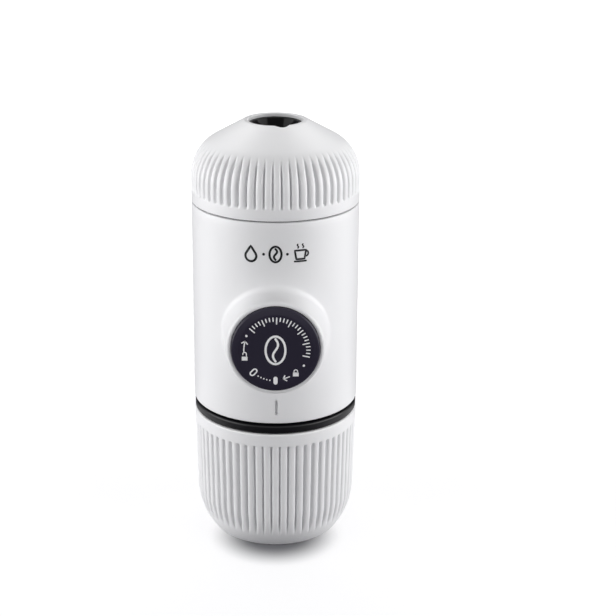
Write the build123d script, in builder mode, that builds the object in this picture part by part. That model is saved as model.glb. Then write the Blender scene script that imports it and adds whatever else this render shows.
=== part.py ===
"""Hand-pumped travel espresso maker, closed up for travel and standing on its cup.

The axis of the maker is +Z and the foot of the cup stands at Z = 0.  The pump lies
across the body, along Y, with its knob towards -Y.  From the floor up the maker is a
ribbed cup, a water tank nested in the cup, the body with the pump, the brewing group
with its basket and scoop, and a ribbed outlet head.
"""

import os
from math import asin, cos, pi, radians, sin, sqrt, tan

from build123d import *

# ---------------------------------------------------------------------------
# Driving dimensions, all in millimetres
# ---------------------------------------------------------------------------

# Clearances
slip = 0.1                   # between pieces that are fitted once and stay
run = 0.3                    # between pieces that slide or turn on each other
shaft_run = 0.07             # between the pump's shafts and their bores
seam = 0.5                   # open line between the outlet head and the body

# The radius of the body, which the other round pieces are fitted to
body_radius = 30.1

# Cup
cup_height = 47.7
cup_step = 0.1               # from the body's side in to the cup's rim
cup_draft = 0.65             # from the rim in to the waist
cup_waist_height = 16.3      # where the straight wall turns into the foot
cup_foot_step = 5.95         # from the waist in to the foot
cup_wall = 2.0
cup_floor = 2.2

# Water tank
collar_step = 0.2            # from the body's side in to the collar
collar_height = 3.1
collar_gap = 0.3             # between the cup's rim and the collar
shadow_gap = 1.1             # dark line between the collar and the body
nest_gap = 0.6               # between the tank's bowl and the cup's wall
tank_wall = 2.0
tank_foot_step = 7.25        # from the bowl's wall in to its foot
tank_foot_height = 8.0
tank_bend_height = 20.0
tank_neck_length = 8.6

# Body
body_height = 74.6
body_wall = 2.3
body_ledge = 1.0             # ring inside the shell that carries the base plate
body_ledge_width = 1.4
index_mark_width = 0.8
index_mark_length = 5.6
index_mark_rise = 3.4        # from the body's lower edge to the mark
index_mark_depth = 0.3

# Knob and its boss
knob_rise = 32.3             # from the body's lower edge to the knob's axis
knob_radius = 15.2
knob_proud = 2.3             # from the boss's rim out to the knob's face
knob_face_radius = 13.0
knob_bevel_depth = 1.1
knob_cap_thickness = 2.2
knob_sleeve_wall = 2.3
knob_sleeve_end = 0.8        # from the maker's axis to the sleeve's inner end
knob_web = 2.2
knob_clip_space = 1.0        # between the cap and the web, for the clip on the rod
boss_height = 8.2            # from the body's side out to the boss's rim
boss_rim_radius = 17.1
boss_taper = 15.0            # degrees
boss_round = 3.5

# Knob travel
lock_angle = 45.0            # degrees between locked and unlocked
lug_angle = 16.0             # degrees
lug_height = 1.4
lug_length = 3.2
lug_play = 1.5               # degrees

# Pump
piston_stroke = 20.0
piston_front_gap = 0.4       # between the piston and the rod's bush at the end of the stroke
cylinder_bore = 8.4
cylinder_wall = 2.1
spring_seat_radius = 13.2
spring_seat = 1.2
rod_radius = 3.5
rod_shoulder_radius = 5.0
rod_shoulder = 2.0
rod_neck_radius = 2.5
clip_radius = 4.6
clip_thickness = 0.5
clip_groove = 0.4
rod_bush_length = 2.5
piston_length = 4.0
piston_rest_gap = 0.6        # between the piston and the pump head at rest
seal_width = 1.8
seal_depth = 1.6
spring_wire = 0.65
spring_turns = 7
pump_head_radius = 12.3
pump_head_length = 8.5
pump_head_gap = 3.8          # between the pump head and the body's wall
duct_inset = 3.5             # from the pump head's front to the water ducts
duct_radius = 2.6
duct_bore = 1.4
duct_wall = 1.8              # of the sockets that the ducts end in
duct_socket = 2.4
valve_length = 4.4
valve_flange = 0.8
pump_chamber_radius = 5.0

# Chassis
base_plate_thickness = 3.0
guide_wall = 2.9
guide_inset = 10.1           # from the body's side in to the guide's front end
rear_plate_front = 1.5
rear_plate_thickness = 3.5
post_radius = 2.6
post_gap = 0.3               # between the posts and the body's wall
post_angle = 15.0            # degrees from the X axis
side_web = 2.5
base_screw_circle_radius = 12.0
vent_offset = 10.6           # across and forward from the maker's axis to the air valve
vent_radius = 1.5
strainer_radius = 3.4
strainer_height = 4.0
strainer_wall = 0.8
strainer_slots = 8

# Brewing group
group_flange = 4.0
group_lip = 1.5
group_lip_width = 1.0
group_neck_step = 7.7        # from the body's side in to the neck
group_neck_height = 8.4
group_neck_wall = 2.6
well_wall = 2.2
well_depth = 16.2            # from the neck's top to the well's floor
well_floor = 2.2
screen_thickness = 0.6
screen_stand = 1.4
gasket_height = 1.2
basket_gap = 0.6             # between the basket and the well's wall
basket_depth = 15.0
basket_wall = 0.5
basket_flange_step = 0.5     # from the neck's side in to the basket's flange
basket_flange = 0.8
scoop_wall = 1.2
scoop_floor = 1.6
scoop_height = 14.3
scoop_notch = 5.0

# Outlet head
head_height = 28.7
head_slope = 29.4            # degrees from level
head_shoulder = 14.8
head_wall = 2.2
lip_width = 1.6
nozzle_hole = 9.6
lip_round = 0.4
portafilter_seal_height = 1.6
portafilter_seal_width = 2.0
portafilter_plate = 3.8
portafilter_skirt = 2.5
portafilter_rim = 2.0
outlet_screen_step = 1.0
outlet_chamber = 1.2
outlet_port = 1.6
outlet_port_length = 1.6
outlet_column_radius = 7.5
valve_chamber_radius = 4.2
outlet_valve_radius = 3.6
outlet_valve_disc = 1.6
outlet_valve_stem = 1.4
outlet_valve_stem_length = 2.2
valve_spring_radius = 2.4
valve_spring_wire = 0.35
valve_spring_turns = 4
nozzle_drop = 1.1            # from the lip to the top of the nozzle
nozzle_flange_radius = 11.6
nozzle_floor = 1.3
nozzle_recess = 8.2
nozzle_recess_floor = 7.0
nozzle_recess_depth = 5.2
nozzle_jet_radius = 0.8
nozzle_jet_circle_radius = 2.6
nozzle_jets = 3
notch_width = 5.2
notch_reach = 1.9            # how far the notch cuts into the lip
notch_round = 1.5
notch_shift = 2.0            # the notch lies a little to the right of the front

# Ribs round the cup and the outlet head
rib_count = 60
groove_depth = 0.85
rib_round = 1.3              # radius of a rib's back
rib_rise = 0.06              # how far that round is cut off by the wall, so a flat is left
head_turn = 1.2              # degrees that the outlet head is screwed past the cup's ribs
cup_groove_top = 43.0
cup_groove_fade = 5.5        # height at which the grooves run out
head_groove_start = 4.2      # above the lower edge of the outlet head
head_groove_fade = 52.0      # degrees round the shoulder at which they run out

# Screws
screw_head_radius = 2.0
screw_head_height = 1.5
screw_radius = 1.25
group_screw_length = 12.0
base_screw_length = 5.0
pump_screw_radius = 0.9
pump_screw_head_radius = 1.6
pump_screw_head_height = 1.2
pump_screw_length = 13.0
pump_screw_circle_radius = 10.4
pump_screws_round = 4
pump_screws_turn = 45.0        # degrees from the cylinder's side to the first screw

# Perforated screens
perforation_radius = 0.7
perforation_pitch = 5.5
perforation_rings = 2

# ---------------------------------------------------------------------------
# Levels that follow from them
# ---------------------------------------------------------------------------

cup_rim_radius = body_radius - cup_step
cup_waist_radius = cup_rim_radius - cup_draft
cup_foot_radius = cup_waist_radius - cup_foot_step

collar_radius = body_radius - collar_step
collar_bottom = cup_height + collar_gap
collar_top = collar_bottom + collar_height
body_bottom = collar_top + shadow_gap
body_top = body_bottom + body_height
body_bore = body_radius - body_wall
knob_height = body_bottom + knob_rise

boss_reach = body_radius + boss_height
boss_root = body_radius / 3  # the boss's cone is drawn back to here, inside the shell
knob_face = boss_reach + knob_proud
guide_front = body_radius - guide_inset

neck_radius = body_bore - run - slip
neck_bore = cup_rim_radius - cup_wall - nest_gap - tank_wall
neck_top = collar_top + tank_neck_length
ledge_bottom = neck_top + 2 * run
plate_bottom = ledge_bottom + body_ledge
plate_top = plate_bottom + base_plate_thickness
plate_radius = body_bore - slip

sleeve_bore = knob_radius - knob_sleeve_wall
guide_bore = knob_radius + run
guide_radius = guide_bore + guide_wall
rear_plate_back = rear_plate_front + rear_plate_thickness
post_circle = body_bore - post_gap - post_radius
cylinder_radius = cylinder_bore + cylinder_wall
pump_head_back = body_bore - pump_head_gap
cylinder_rear = pump_head_back - pump_head_length
duct_offset = cylinder_rear + duct_inset
pump_head_foot = knob_height - pump_head_radius
pump_head_crown = knob_height + pump_head_radius

cap_back = knob_face - knob_cap_thickness
web_front = cap_back - knob_clip_space
web_back = web_front - knob_web
piston_back = cylinder_rear - piston_rest_gap
piston_front = piston_back - piston_length
cylinder_front = piston_stroke + piston_front_gap + rod_bush_length - piston_front

group_neck_radius = body_radius - group_neck_step
well_radius = group_neck_radius - group_neck_wall
basket_radius = well_radius - basket_gap
basket_flange_radius = group_neck_radius - basket_flange_step

flange_top = body_top - seam
flange_bottom = flange_top - group_flange
neck_rim = flange_top + group_neck_height
well_bottom = neck_rim - well_depth
gasket_top = neck_rim + gasket_height
basket_bottom = gasket_top - basket_depth
basket_top = gasket_top + basket_flange

head_bottom = body_top + seam
head_top = head_bottom + head_height
lip_radius = nozzle_hole + lip_width
head_corner = head_top - tan(radians(head_slope)) * (body_radius - lip_radius)
head_bend = head_corner - head_shoulder * tan(radians(90 - head_slope) / 2)
skirt_bore = group_neck_radius + run
skirt_radius = skirt_bore + portafilter_skirt
portafilter_foot = basket_top + portafilter_seal_height
chamber_top = portafilter_foot + screen_thickness + outlet_chamber
valve_seat = chamber_top + outlet_port_length
nozzle_top = head_top - nozzle_drop
nozzle_foot = nozzle_top - nozzle_recess_depth - nozzle_floor

os.makedirs("parts", exist_ok=True)


def vertex_near(sketch, x, y):
    """The corner of a sketch that lies nearest to a point."""
    return sketch.vertices().sort_by_distance((x, y, 0))[0]


def across(y):
    """A plane at this Y that faces -Y, with its origin on the pump's axis."""
    return Plane.XZ.offset(-y).shift_origin((0, y, knob_height))


def inside_head(radius):
    """Height of the inner face of the outlet head's cone at a radius."""
    outer = head_top - tan(radians(head_slope)) * (radius - lip_radius)
    return outer - head_wall / cos(radians(head_slope))


pump_axis = Axis((0, 0, knob_height), (0, 1, 0))
pump_section = Plane.YZ.shift_origin((0, 0, knob_height))    # along Y, out from the axis


# ---------------------------------------------------------------------------
# Cup
# ---------------------------------------------------------------------------

foot_step = cup_waist_radius - cup_foot_radius
foot_arc = (foot_step**2 + cup_waist_height**2) / (2 * foot_step)
foot_fade = asin((cup_waist_height - cup_groove_fade) / foot_arc)
foot_lift = foot_arc + groove_depth + slip


def gap_point(height):
    """A point on a rib's flank, across from the gap's middle and out from the wall."""
    pitch = 2 * pi * cup_waist_radius / rib_count
    rib_centre = rib_rise - rib_round
    return pitch / 2 - sqrt(rib_round**2 - (height - rib_centre) ** 2), height


def groove_cutter(start, bend, end):
    """A cutter like the gap between two ribs: it runs along a wall and leaves it in an arc."""
    with BuildSketch() as half_gap:
        with BuildLine():
            flank = ThreePointArc(
                gap_point(-groove_depth), gap_point(-groove_depth / 2), gap_point(rib_rise / 2)
            )
            Polyline(
                flank @ 1,
                ((flank @ 1).X, groove_depth),
                (0, groove_depth),
                (0, -groove_depth),
                flank @ 0,
            )
        make_face()
    with BuildPart() as cutter:
        with BuildLine(Plane.XZ):
            wall = Line(start, bend)
            TangentArc(wall @ 1, end, tangent=wall % 1)
        section = Plane(wall @ 0, x_dir=Vector(1, 0, 0).cross(wall % 0), z_dir=wall % 0)
        with BuildSketch(section):
            add(half_gap.sketch)
            mirror(half_gap.sketch, about=Plane.YZ)
        sweep()
        with BuildSketch(section):
            add(half_gap.sketch)
        revolve(axis=Axis(section.origin, section.y_dir))
    return cutter.part


cup_groove = groove_cutter(
    (cup_rim_radius, cup_groove_top),
    (cup_waist_radius, cup_waist_height),
    (
        cup_waist_radius - foot_arc + foot_lift * cos(foot_fade),
        cup_waist_height - foot_lift * sin(foot_fade),
    ),
)

with BuildPart() as cup:
    with BuildSketch(Plane.XZ):
        with BuildLine():
            wall = Line((cup_rim_radius, cup_height), (cup_waist_radius, cup_waist_height))
            foot = TangentArc(wall @ 1, (cup_foot_radius, 0), tangent=wall % 1)
            Polyline(foot @ 1, (0, 0), (0, cup_height), wall @ 0)
        make_face()
    revolve(axis=Axis.Z)
    with BuildSketch(Plane.XZ):
        with BuildLine():
            wall = Line(
                (cup_rim_radius - cup_wall, cup_height),
                (cup_waist_radius - cup_wall, cup_waist_height),
            )
            foot = TangentArc(wall @ 1, (cup_foot_radius - cup_wall, cup_floor), tangent=wall % 1)
            Polyline(foot @ 1, (0, cup_floor), (0, cup_height), wall @ 0)
        make_face()
    revolve(axis=Axis.Z, mode=Mode.SUBTRACT)
    with PolarLocations(0, rib_count, start_angle=180 / rib_count):
        add(cup_groove, mode=Mode.SUBTRACT)
cup.part.label = "cup"
export_step(cup.part, "parts/cup.step")

# ---------------------------------------------------------------------------
# Water tank, its seal, and the seal's seat in the body
# ---------------------------------------------------------------------------

bowl_top_radius = cup_rim_radius - cup_wall - nest_gap
bowl_waist_radius = cup_waist_radius - cup_wall - nest_gap
tank_foot_radius = bowl_waist_radius - tank_foot_step

with BuildPart() as water_tank:
    with BuildSketch(Plane.XZ) as tank_outside:
        with BuildLine():
            bowl = Line((bowl_top_radius, collar_bottom), (bowl_waist_radius, tank_bend_height))
            bend = TangentArc(bowl @ 1, (tank_foot_radius, tank_foot_height), tangent=bowl % 1)
            Polyline(
                bend @ 1,
                (0, tank_foot_height),
                (0, neck_top),
                (neck_radius, neck_top),
                (neck_radius, collar_top),
                (collar_radius, collar_top),
                (collar_radius, collar_bottom),
                bowl @ 0,
            )
        make_face()
        fillet(vertex_near(tank_outside, collar_radius, collar_top), collar_height / 4)
        fillet(vertex_near(tank_outside, collar_radius, collar_bottom), collar_height / 6)
        fillet(vertex_near(tank_outside, tank_foot_radius, tank_foot_height), tank_wall)
    revolve(axis=Axis.Z)
    with BuildSketch(Plane.XZ):
        with BuildLine():
            throat = Line((neck_bore, neck_top), (neck_bore, collar_bottom))
            bowl = Line(throat @ 1, (bowl_waist_radius - tank_wall, tank_bend_height))
            bend = TangentArc(
                bowl @ 1,
                (tank_foot_radius - tank_wall, tank_foot_height + tank_wall),
                tangent=bowl % 1,
            )
            Polyline(bend @ 1, (0, tank_foot_height + tank_wall), (0, neck_top), throat @ 0)
        make_face()
    revolve(axis=Axis.Z, mode=Mode.SUBTRACT)
water_tank.part.label = "water_tank"
export_step(water_tank.part, "parts/water_tank.step")

ledge_radius = body_bore - body_ledge_width
tank_seal_outer = ledge_radius - run
tank_seal_inner = tank_seal_outer - body_ledge_width
tank_seal_top = plate_bottom + base_plate_thickness / 3

with BuildPart() as tank_seal:
    with BuildSketch(Plane.XY.offset(neck_top)):
        Circle(tank_seal_outer)
        Circle(tank_seal_inner, mode=Mode.SUBTRACT)
    extrude(amount=tank_seal_top - neck_top)
    seal_lip = tank_seal.edges().filter_by(GeomType.CIRCLE).group_by(Axis.Z)[-1]
    fillet(seal_lip, run)
tank_seal.part.label = "tank_seal"
export_step(tank_seal.part, "parts/tank_seal.step")

# ---------------------------------------------------------------------------
# Body shell with the boss round the knob
# ---------------------------------------------------------------------------

boss_root_radius = boss_rim_radius + (boss_reach - boss_root) * tan(radians(boss_taper))

with BuildPart() as body_shell:
    with BuildSketch(Plane.XY.offset(body_bottom)):
        Circle(body_radius)
    extrude(amount=body_height)
    with BuildSketch(across(-boss_root)):
        Circle(boss_root_radius)
    extrude(amount=boss_reach - boss_root, taper=boss_taper)
    boss_edge = body_shell.edges().group_by(Axis.Y)[0]
    fillet(boss_edge, (boss_rim_radius - guide_bore) / 2)
    boss_foot = (
        body_shell.edges()
        .filter_by(GeomType.CIRCLE, reverse=True)
        .filter_by(GeomType.LINE, reverse=True)
        .sort_by(Edge.length)[-1]
    )
    fillet(boss_foot, boss_round)
    # the bore from end to end, then the ledge that it leaves, then the step at the top
    with BuildSketch(Plane.XY.offset(body_bottom)):
        Circle(body_bore)
    extrude(amount=body_height, mode=Mode.SUBTRACT)
    with BuildSketch(Plane.XY.offset(ledge_bottom)):
        Circle(body_bore)
        Circle(ledge_radius, mode=Mode.SUBTRACT)
    extrude(amount=body_ledge)
    with BuildSketch(Plane.XY.offset(flange_top - group_lip)):
        Circle(body_bore + group_lip_width)
    extrude(amount=body_height, mode=Mode.SUBTRACT)
    # the hole for the knob, and the line that its marks are read against
    with BuildSketch(across(-boss_reach)):
        Circle(guide_bore)
    extrude(amount=-(boss_reach - boss_root / 2), mode=Mode.SUBTRACT)
    with BuildSketch(Plane.XZ.offset(body_radius - index_mark_depth)):
        with Locations((0, body_bottom + index_mark_rise + index_mark_length / 2)):
            SlotOverall(index_mark_length, index_mark_width, rotation=90)
    extrude(amount=body_wall, mode=Mode.SUBTRACT)
body_shell.part.label = "body_shell"
export_step(body_shell.part, "parts/body_shell.step")

# ---------------------------------------------------------------------------
# Chassis: guide for the knob's sleeve, plate behind the pump and four posts
# ---------------------------------------------------------------------------

post_x = post_circle * cos(radians(post_angle))
post_y = post_circle * sin(radians(post_angle))
posts = [(post_x, post_y), (post_x, -post_y), (-post_x, post_y), (-post_x, -post_y)]
rear_plate_middle = rear_plate_front + rear_plate_thickness / 2
base_screws_at = [
    (base_screw_circle_radius, rear_plate_middle),
    (-base_screw_circle_radius, rear_plate_middle),
    (0, -base_screw_circle_radius),
]
guide_top = knob_height + guide_radius
lug_reach = knob_radius + lug_height
channel_angle = lug_angle + lock_angle + 2 * lug_play

with BuildPart() as chassis:
    with BuildSketch(across(rear_plate_back)):
        Circle(guide_radius)
    extrude(amount=rear_plate_back + guide_front)
    with BuildSketch(Plane.XZ.offset(-rear_plate_back)):
        with Locations((0, (plate_top + guide_top) / 2)):
            Rectangle(2 * post_x, guide_top - plate_top)
    extrude(amount=rear_plate_thickness)
    with BuildSketch(Plane.XY.offset(knob_height - side_web / 2)):
        with Locations((0, (rear_plate_front - post_y) / 2)):
            Rectangle(2 * post_x, rear_plate_front + post_y)
    extrude(amount=side_web)
    with BuildSketch(Plane.XY.offset(plate_top)):
        with Locations(posts):
            Circle(post_radius)
    extrude(amount=flange_bottom - plate_top)
    with BuildSketch(Plane.XY.offset(plate_top)):
        with Locations((0, -base_screw_circle_radius)):
            Circle(post_radius)
    extrude(amount=knob_height - guide_bore - plate_top)
    # bore for the sleeve, and two channels wide enough for its lugs to turn in
    with BuildSketch(across(rear_plate_front)):
        Circle(guide_bore)
    extrude(amount=rear_plate_front + guide_front, mode=Mode.SUBTRACT)
    for side in (90, 270):
        with BuildSketch(across(rear_plate_front)):
            with BuildLine():
                turn = CenterArc(
                    (0, 0), lug_reach + run, side - lug_angle / 2 - lug_play, channel_angle
                )
                Line((0, 0), turn @ 0)
                Line(turn @ 1, (0, 0))
            make_face()
        extrude(amount=rear_plate_front + guide_front, mode=Mode.SUBTRACT)
    with BuildSketch(across(rear_plate_back)):
        Circle(cylinder_radius + slip)
    extrude(amount=rear_plate_thickness, mode=Mode.SUBTRACT)
    # pilot holes for the screws
    with BuildSketch(Plane.XY.offset(flange_bottom)):
        with Locations(posts):
            Circle(screw_radius + slip / 2)
    extrude(amount=-group_screw_length, mode=Mode.SUBTRACT)
    with BuildSketch(Plane.XY.offset(plate_top)):
        with Locations(base_screws_at):
            Circle(screw_radius + slip / 2)
    extrude(amount=base_screw_length - base_plate_thickness / 2, mode=Mode.SUBTRACT)
chassis.part.label = "chassis"
export_step(chassis.part, "parts/chassis.step")

# ---------------------------------------------------------------------------
# Base plate with the water intake and the air valve
# ---------------------------------------------------------------------------

seal_groove = tank_seal_top - plate_bottom + slip

with BuildPart() as base_plate:
    with BuildSketch(Plane.XY.offset(plate_bottom)):
        Circle(plate_radius)
    extrude(amount=base_plate_thickness)
    with BuildSketch(Plane.XY.offset(plate_top)):
        with Locations((0, duct_offset)):
            Circle(duct_radius + duct_wall)
    extrude(amount=duct_socket)
    with BuildSketch(Plane.XY.offset(plate_top)):
        with Locations((0, duct_offset)):
            Circle(duct_radius + slip)
    extrude(amount=duct_socket, mode=Mode.SUBTRACT)
    with BuildSketch(Plane.XY.offset(plate_bottom)):
        with Locations((0, duct_offset)):
            Circle(duct_bore)
        with Locations((-vent_offset, -vent_offset)):
            Circle(vent_radius)
        with Locations(base_screws_at):
            Circle(screw_radius + slip)
    extrude(amount=base_plate_thickness, mode=Mode.SUBTRACT)
    with BuildSketch(Plane.XY.offset(plate_bottom)):
        with Locations(base_screws_at):
            Circle(screw_head_radius + slip)
    extrude(amount=screw_head_height + slip, mode=Mode.SUBTRACT)
    with BuildSketch(Plane.XY.offset(plate_bottom)):
        Circle(ledge_radius)
        Circle(tank_seal_inner - run, mode=Mode.SUBTRACT)
    extrude(amount=seal_groove, mode=Mode.SUBTRACT)
base_plate.part.label = "base_plate"
export_step(base_plate.part, "parts/base_plate.step")

with BuildPart() as base_screws:
    with BuildSketch(Plane.XY.offset(plate_bottom)):
        with Locations(base_screws_at):
            Circle(screw_head_radius)
    extrude(amount=screw_head_height)
    with BuildSketch(Plane.XY.offset(plate_bottom + screw_head_height)):
        with Locations(base_screws_at):
            Circle(screw_radius)
    extrude(amount=base_screw_length)
    chamfer(base_screws.edges().group_by(Axis.Z)[0], slip)
base_screws.part.label = "base_screws"
export_step(base_screws.part, "parts/base_screws.step")

with BuildPart() as intake_strainer:
    with BuildSketch(Plane.XY.offset(plate_bottom)):
        with Locations((0, duct_offset)):
            Circle(strainer_radius)
    extrude(amount=-strainer_height)
    fillet(intake_strainer.edges().group_by(Axis.Z)[0], strainer_wall)
    with BuildSketch(Plane.XY.offset(plate_bottom)):
        with Locations((0, duct_offset)):
            Circle(strainer_radius - strainer_wall)
    extrude(amount=strainer_wall - strainer_height, mode=Mode.SUBTRACT)
    with BuildSketch(Plane.XY.offset(plate_bottom - strainer_wall)):
        with Locations((0, duct_offset)):
            with PolarLocations(strainer_radius, strainer_slots):
                Rectangle(2 * strainer_wall + slip, strainer_wall)
    extrude(amount=2 * strainer_wall - strainer_height + slip, mode=Mode.SUBTRACT)
intake_strainer.part.label = "intake_strainer"
export_step(intake_strainer.part, "parts/intake_strainer.step")

with BuildPart() as air_valve:
    with BuildSketch(Plane.XZ):
        with BuildLine():
            Polyline(
                (0, plate_bottom - 2 * vent_radius / 3),
                (2 * vent_radius, plate_bottom - vent_radius / 3),
                (2 * vent_radius, plate_bottom),
                (vent_radius - slip, plate_bottom),
                (vent_radius - slip, plate_top),
                (vent_radius + 2 * slip, plate_top),
                (0, plate_top + vent_radius),
                close=True,
            )
        make_face()
    revolve(axis=Axis.Z)
air_valve_seated = air_valve.part.moved(Location((-vent_offset, -vent_offset, 0)))
air_valve_seated.label = "air_valve"
export_step(air_valve_seated, "parts/air_valve.step")

# ---------------------------------------------------------------------------
# Pump: cylinder, head with its two valves, ducts and screws
# ---------------------------------------------------------------------------

with BuildPart() as pump_cylinder:
    with BuildSketch(across(cylinder_rear)):
        Circle(cylinder_radius)
    extrude(amount=cylinder_rear + cylinder_front)
    with BuildSketch(across(cylinder_rear)):
        Circle(pump_head_radius)
    extrude(amount=rod_bush_length)
    with BuildSketch(across(rear_plate_front)):
        Circle(spring_seat_radius)
    extrude(amount=spring_seat)
    with BuildSketch(across(cylinder_rear)):
        Circle(cylinder_bore)
    extrude(amount=cylinder_rear + cylinder_front, mode=Mode.SUBTRACT)
    with BuildSketch(across(cylinder_rear)):
        with PolarLocations(pump_screw_circle_radius, pump_screws_round, pump_screws_turn):
            Circle(pump_screw_radius + slip / 2)
    extrude(amount=pump_screw_length - pump_head_length, mode=Mode.SUBTRACT)
    chamfer(pump_cylinder.edges().group_by(Axis.Y)[0].sort_by(Edge.length)[-1], run)
pump_cylinder.part.label = "pump_cylinder"
export_step(pump_cylinder.part, "parts/pump_cylinder.step")

valve_pocket = duct_socket + valve_length

with BuildPart() as pump_head:
    with BuildSketch(across(pump_head_back)):
        Circle(pump_head_radius)
    extrude(amount=pump_head_length)
    chamfer(pump_head.edges().group_by(Axis.Y)[-1], 2 * run)
    # straight duct from foot to crown, wider at both ends for a valve and a pipe
    with BuildSketch(Plane.XY.offset(pump_head_foot)):
        with Locations((0, duct_offset)):
            Circle(duct_bore)
    extrude(amount=2 * pump_head_radius, mode=Mode.SUBTRACT)
    with BuildSketch(Plane.XY.offset(pump_head_foot)):
        with Locations((0, duct_offset)):
            Circle(duct_radius + slip)
    extrude(amount=valve_pocket, mode=Mode.SUBTRACT)
    with BuildSketch(Plane.XY.offset(pump_head_crown)):
        with Locations((0, duct_offset)):
            Circle(duct_radius + slip)
    extrude(amount=-valve_pocket, mode=Mode.SUBTRACT)
    with BuildSketch(across(duct_offset)):
        Circle(pump_chamber_radius)
    extrude(amount=duct_offset - cylinder_rear, mode=Mode.SUBTRACT)
    with BuildSketch(across(pump_head_back)):
        with PolarLocations(pump_screw_circle_radius, pump_screws_round, pump_screws_turn):
            Circle(pump_screw_radius + slip / 2)
    extrude(amount=pump_head_length, mode=Mode.SUBTRACT)
pump_head.part.label = "pump_head"
export_step(pump_head.part, "parts/pump_head.step")

with BuildPart() as pump_screws:
    with BuildSketch(across(pump_head_back)):
        with PolarLocations(pump_screw_circle_radius, pump_screws_round, pump_screws_turn):
            Circle(pump_screw_head_radius)
    extrude(amount=-pump_screw_head_height)
    with BuildSketch(across(pump_head_back)):
        with PolarLocations(pump_screw_circle_radius, pump_screws_round, pump_screws_turn):
            Circle(pump_screw_radius)
    extrude(amount=pump_screw_length)
pump_screws.part.label = "pump_screws"
export_step(pump_screws.part, "parts/pump_screws.step")

# both valves are soft duckbills that point up, the way the water goes
valve_levels = {
    "intake_valve": pump_head_foot + duct_socket,
    "delivery_valve": pump_head_crown - valve_pocket,
}
for valve_name, level in valve_levels.items():
    bill_foot = Plane.XY.offset(level).shift_origin((0, duct_offset, level))
    with BuildPart() as duckbill:
        with BuildSketch(bill_foot):
            Circle(duct_radius)
        extrude(amount=valve_flange)
        with BuildSketch(bill_foot.offset(valve_flange)):
            Circle(duct_radius - 3 * run)
        with BuildSketch(bill_foot.offset(valve_length - slip)):
            Rectangle(2 * duct_bore, 2 * run)
        loft()
        with BuildSketch(bill_foot):
            Circle(duct_bore - run)
        extrude(amount=valve_length / 2, mode=Mode.SUBTRACT)
    duckbill.part.label = valve_name
    export_step(duckbill.part, f"parts/{valve_name}.step")

group_socket_foot = well_bottom - well_floor - duct_socket
duct_ends = {
    "inlet_pipe": (plate_top, pump_head_foot + duct_socket),
    "delivery_pipe": (pump_head_crown - duct_socket, group_socket_foot + duct_socket),
}
for duct_name, (duct_foot, duct_crown) in duct_ends.items():
    with BuildPart() as duct:
        with BuildSketch(Plane.XY.offset(duct_foot)):
            with Locations((0, duct_offset)):
                Circle(duct_radius)
                Circle(duct_bore, mode=Mode.SUBTRACT)
        extrude(amount=duct_crown - duct_foot)
    duct.part.label = duct_name
    export_step(duct.part, f"parts/{duct_name}.step")

with BuildPart() as rod_bush:
    with BuildSketch(across(rod_bush_length - cylinder_front)):
        Circle(cylinder_bore - slip / 2)
        Circle(rod_radius + shaft_run, mode=Mode.SUBTRACT)
    extrude(amount=rod_bush_length)
rod_bush.part.label = "rod_bush"
export_step(rod_bush.part, "parts/rod_bush.step")

# ---------------------------------------------------------------------------
# Plunger: rod, piston, piston seal and the clip that holds the knob
# ---------------------------------------------------------------------------

piston_stub = rod_neck_radius - clip_groove
clip_front = web_front + 2 * slip + clip_thickness

with BuildPart() as piston_rod:
    with BuildSketch(pump_section):
        with BuildLine():
            Polyline(
                (piston_back, 0),
                (piston_back, piston_stub),
                (piston_front, piston_stub),
                (piston_front, rod_radius),
                (rod_shoulder + slip - web_back, rod_radius),
                (rod_shoulder + slip - web_back, rod_shoulder_radius),
                (slip - web_back, rod_shoulder_radius),
                (slip - web_back, rod_neck_radius),
                (-web_front - slip, rod_neck_radius),
                (-web_front - slip, rod_neck_radius - clip_groove),
                (-clip_front - slip, rod_neck_radius - clip_groove),
                (-clip_front - slip, rod_neck_radius),
                (slip - cap_back, rod_neck_radius),
                (slip - cap_back, 0),
                close=True,
            )
        make_face()
    revolve(axis=pump_axis)
piston_rod.part.label = "piston_rod"
export_step(piston_rod.part, "parts/piston_rod.step")

seal_front = (piston_front + piston_back - seal_width) / 2
seal_back = seal_front + seal_width
seal_floor = cylinder_bore - run - seal_depth

with BuildPart() as piston_head:
    with BuildSketch(pump_section):
        with BuildLine():
            Polyline(
                (piston_front, piston_stub + slip / 2),
                (piston_front, cylinder_bore - run),
                (seal_front, cylinder_bore - run),
                (seal_front, seal_floor),
                (seal_back, seal_floor),
                (seal_back, cylinder_bore - run),
                (piston_back, cylinder_bore - run),
                (piston_back, piston_stub + slip / 2),
                close=True,
            )
        make_face()
    revolve(axis=pump_axis)
piston_head.part.label = "piston_head"
export_step(piston_head.part, "parts/piston_head.step")

with BuildPart() as piston_seal:
    with BuildSketch(across(seal_back - slip)):
        Circle(cylinder_bore - shaft_run)
        Circle(seal_floor + slip, mode=Mode.SUBTRACT)
    extrude(amount=seal_width - 2 * slip)
piston_seal.part.label = "piston_seal"
export_step(piston_seal.part, "parts/piston_seal.step")

with BuildPart() as retaining_clip:
    with BuildSketch(across(-web_front - 2 * slip)):
        Circle(clip_radius)
        Circle(rod_neck_radius - clip_groove + slip / 2, mode=Mode.SUBTRACT)
        with Locations((0, -clip_radius)):
            Rectangle(rod_neck_radius, 2 * (clip_radius - rod_neck_radius), mode=Mode.SUBTRACT)
    extrude(amount=clip_thickness)
retaining_clip.part.label = "retaining_clip"
export_step(retaining_clip.part, "parts/retaining_clip.step")

spring_radius = (cylinder_radius + sleeve_bore) / 2
spring_back = rear_plate_front - spring_seat - spring_wire - slip
spring_front = web_back - spring_wire - slip

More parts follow.
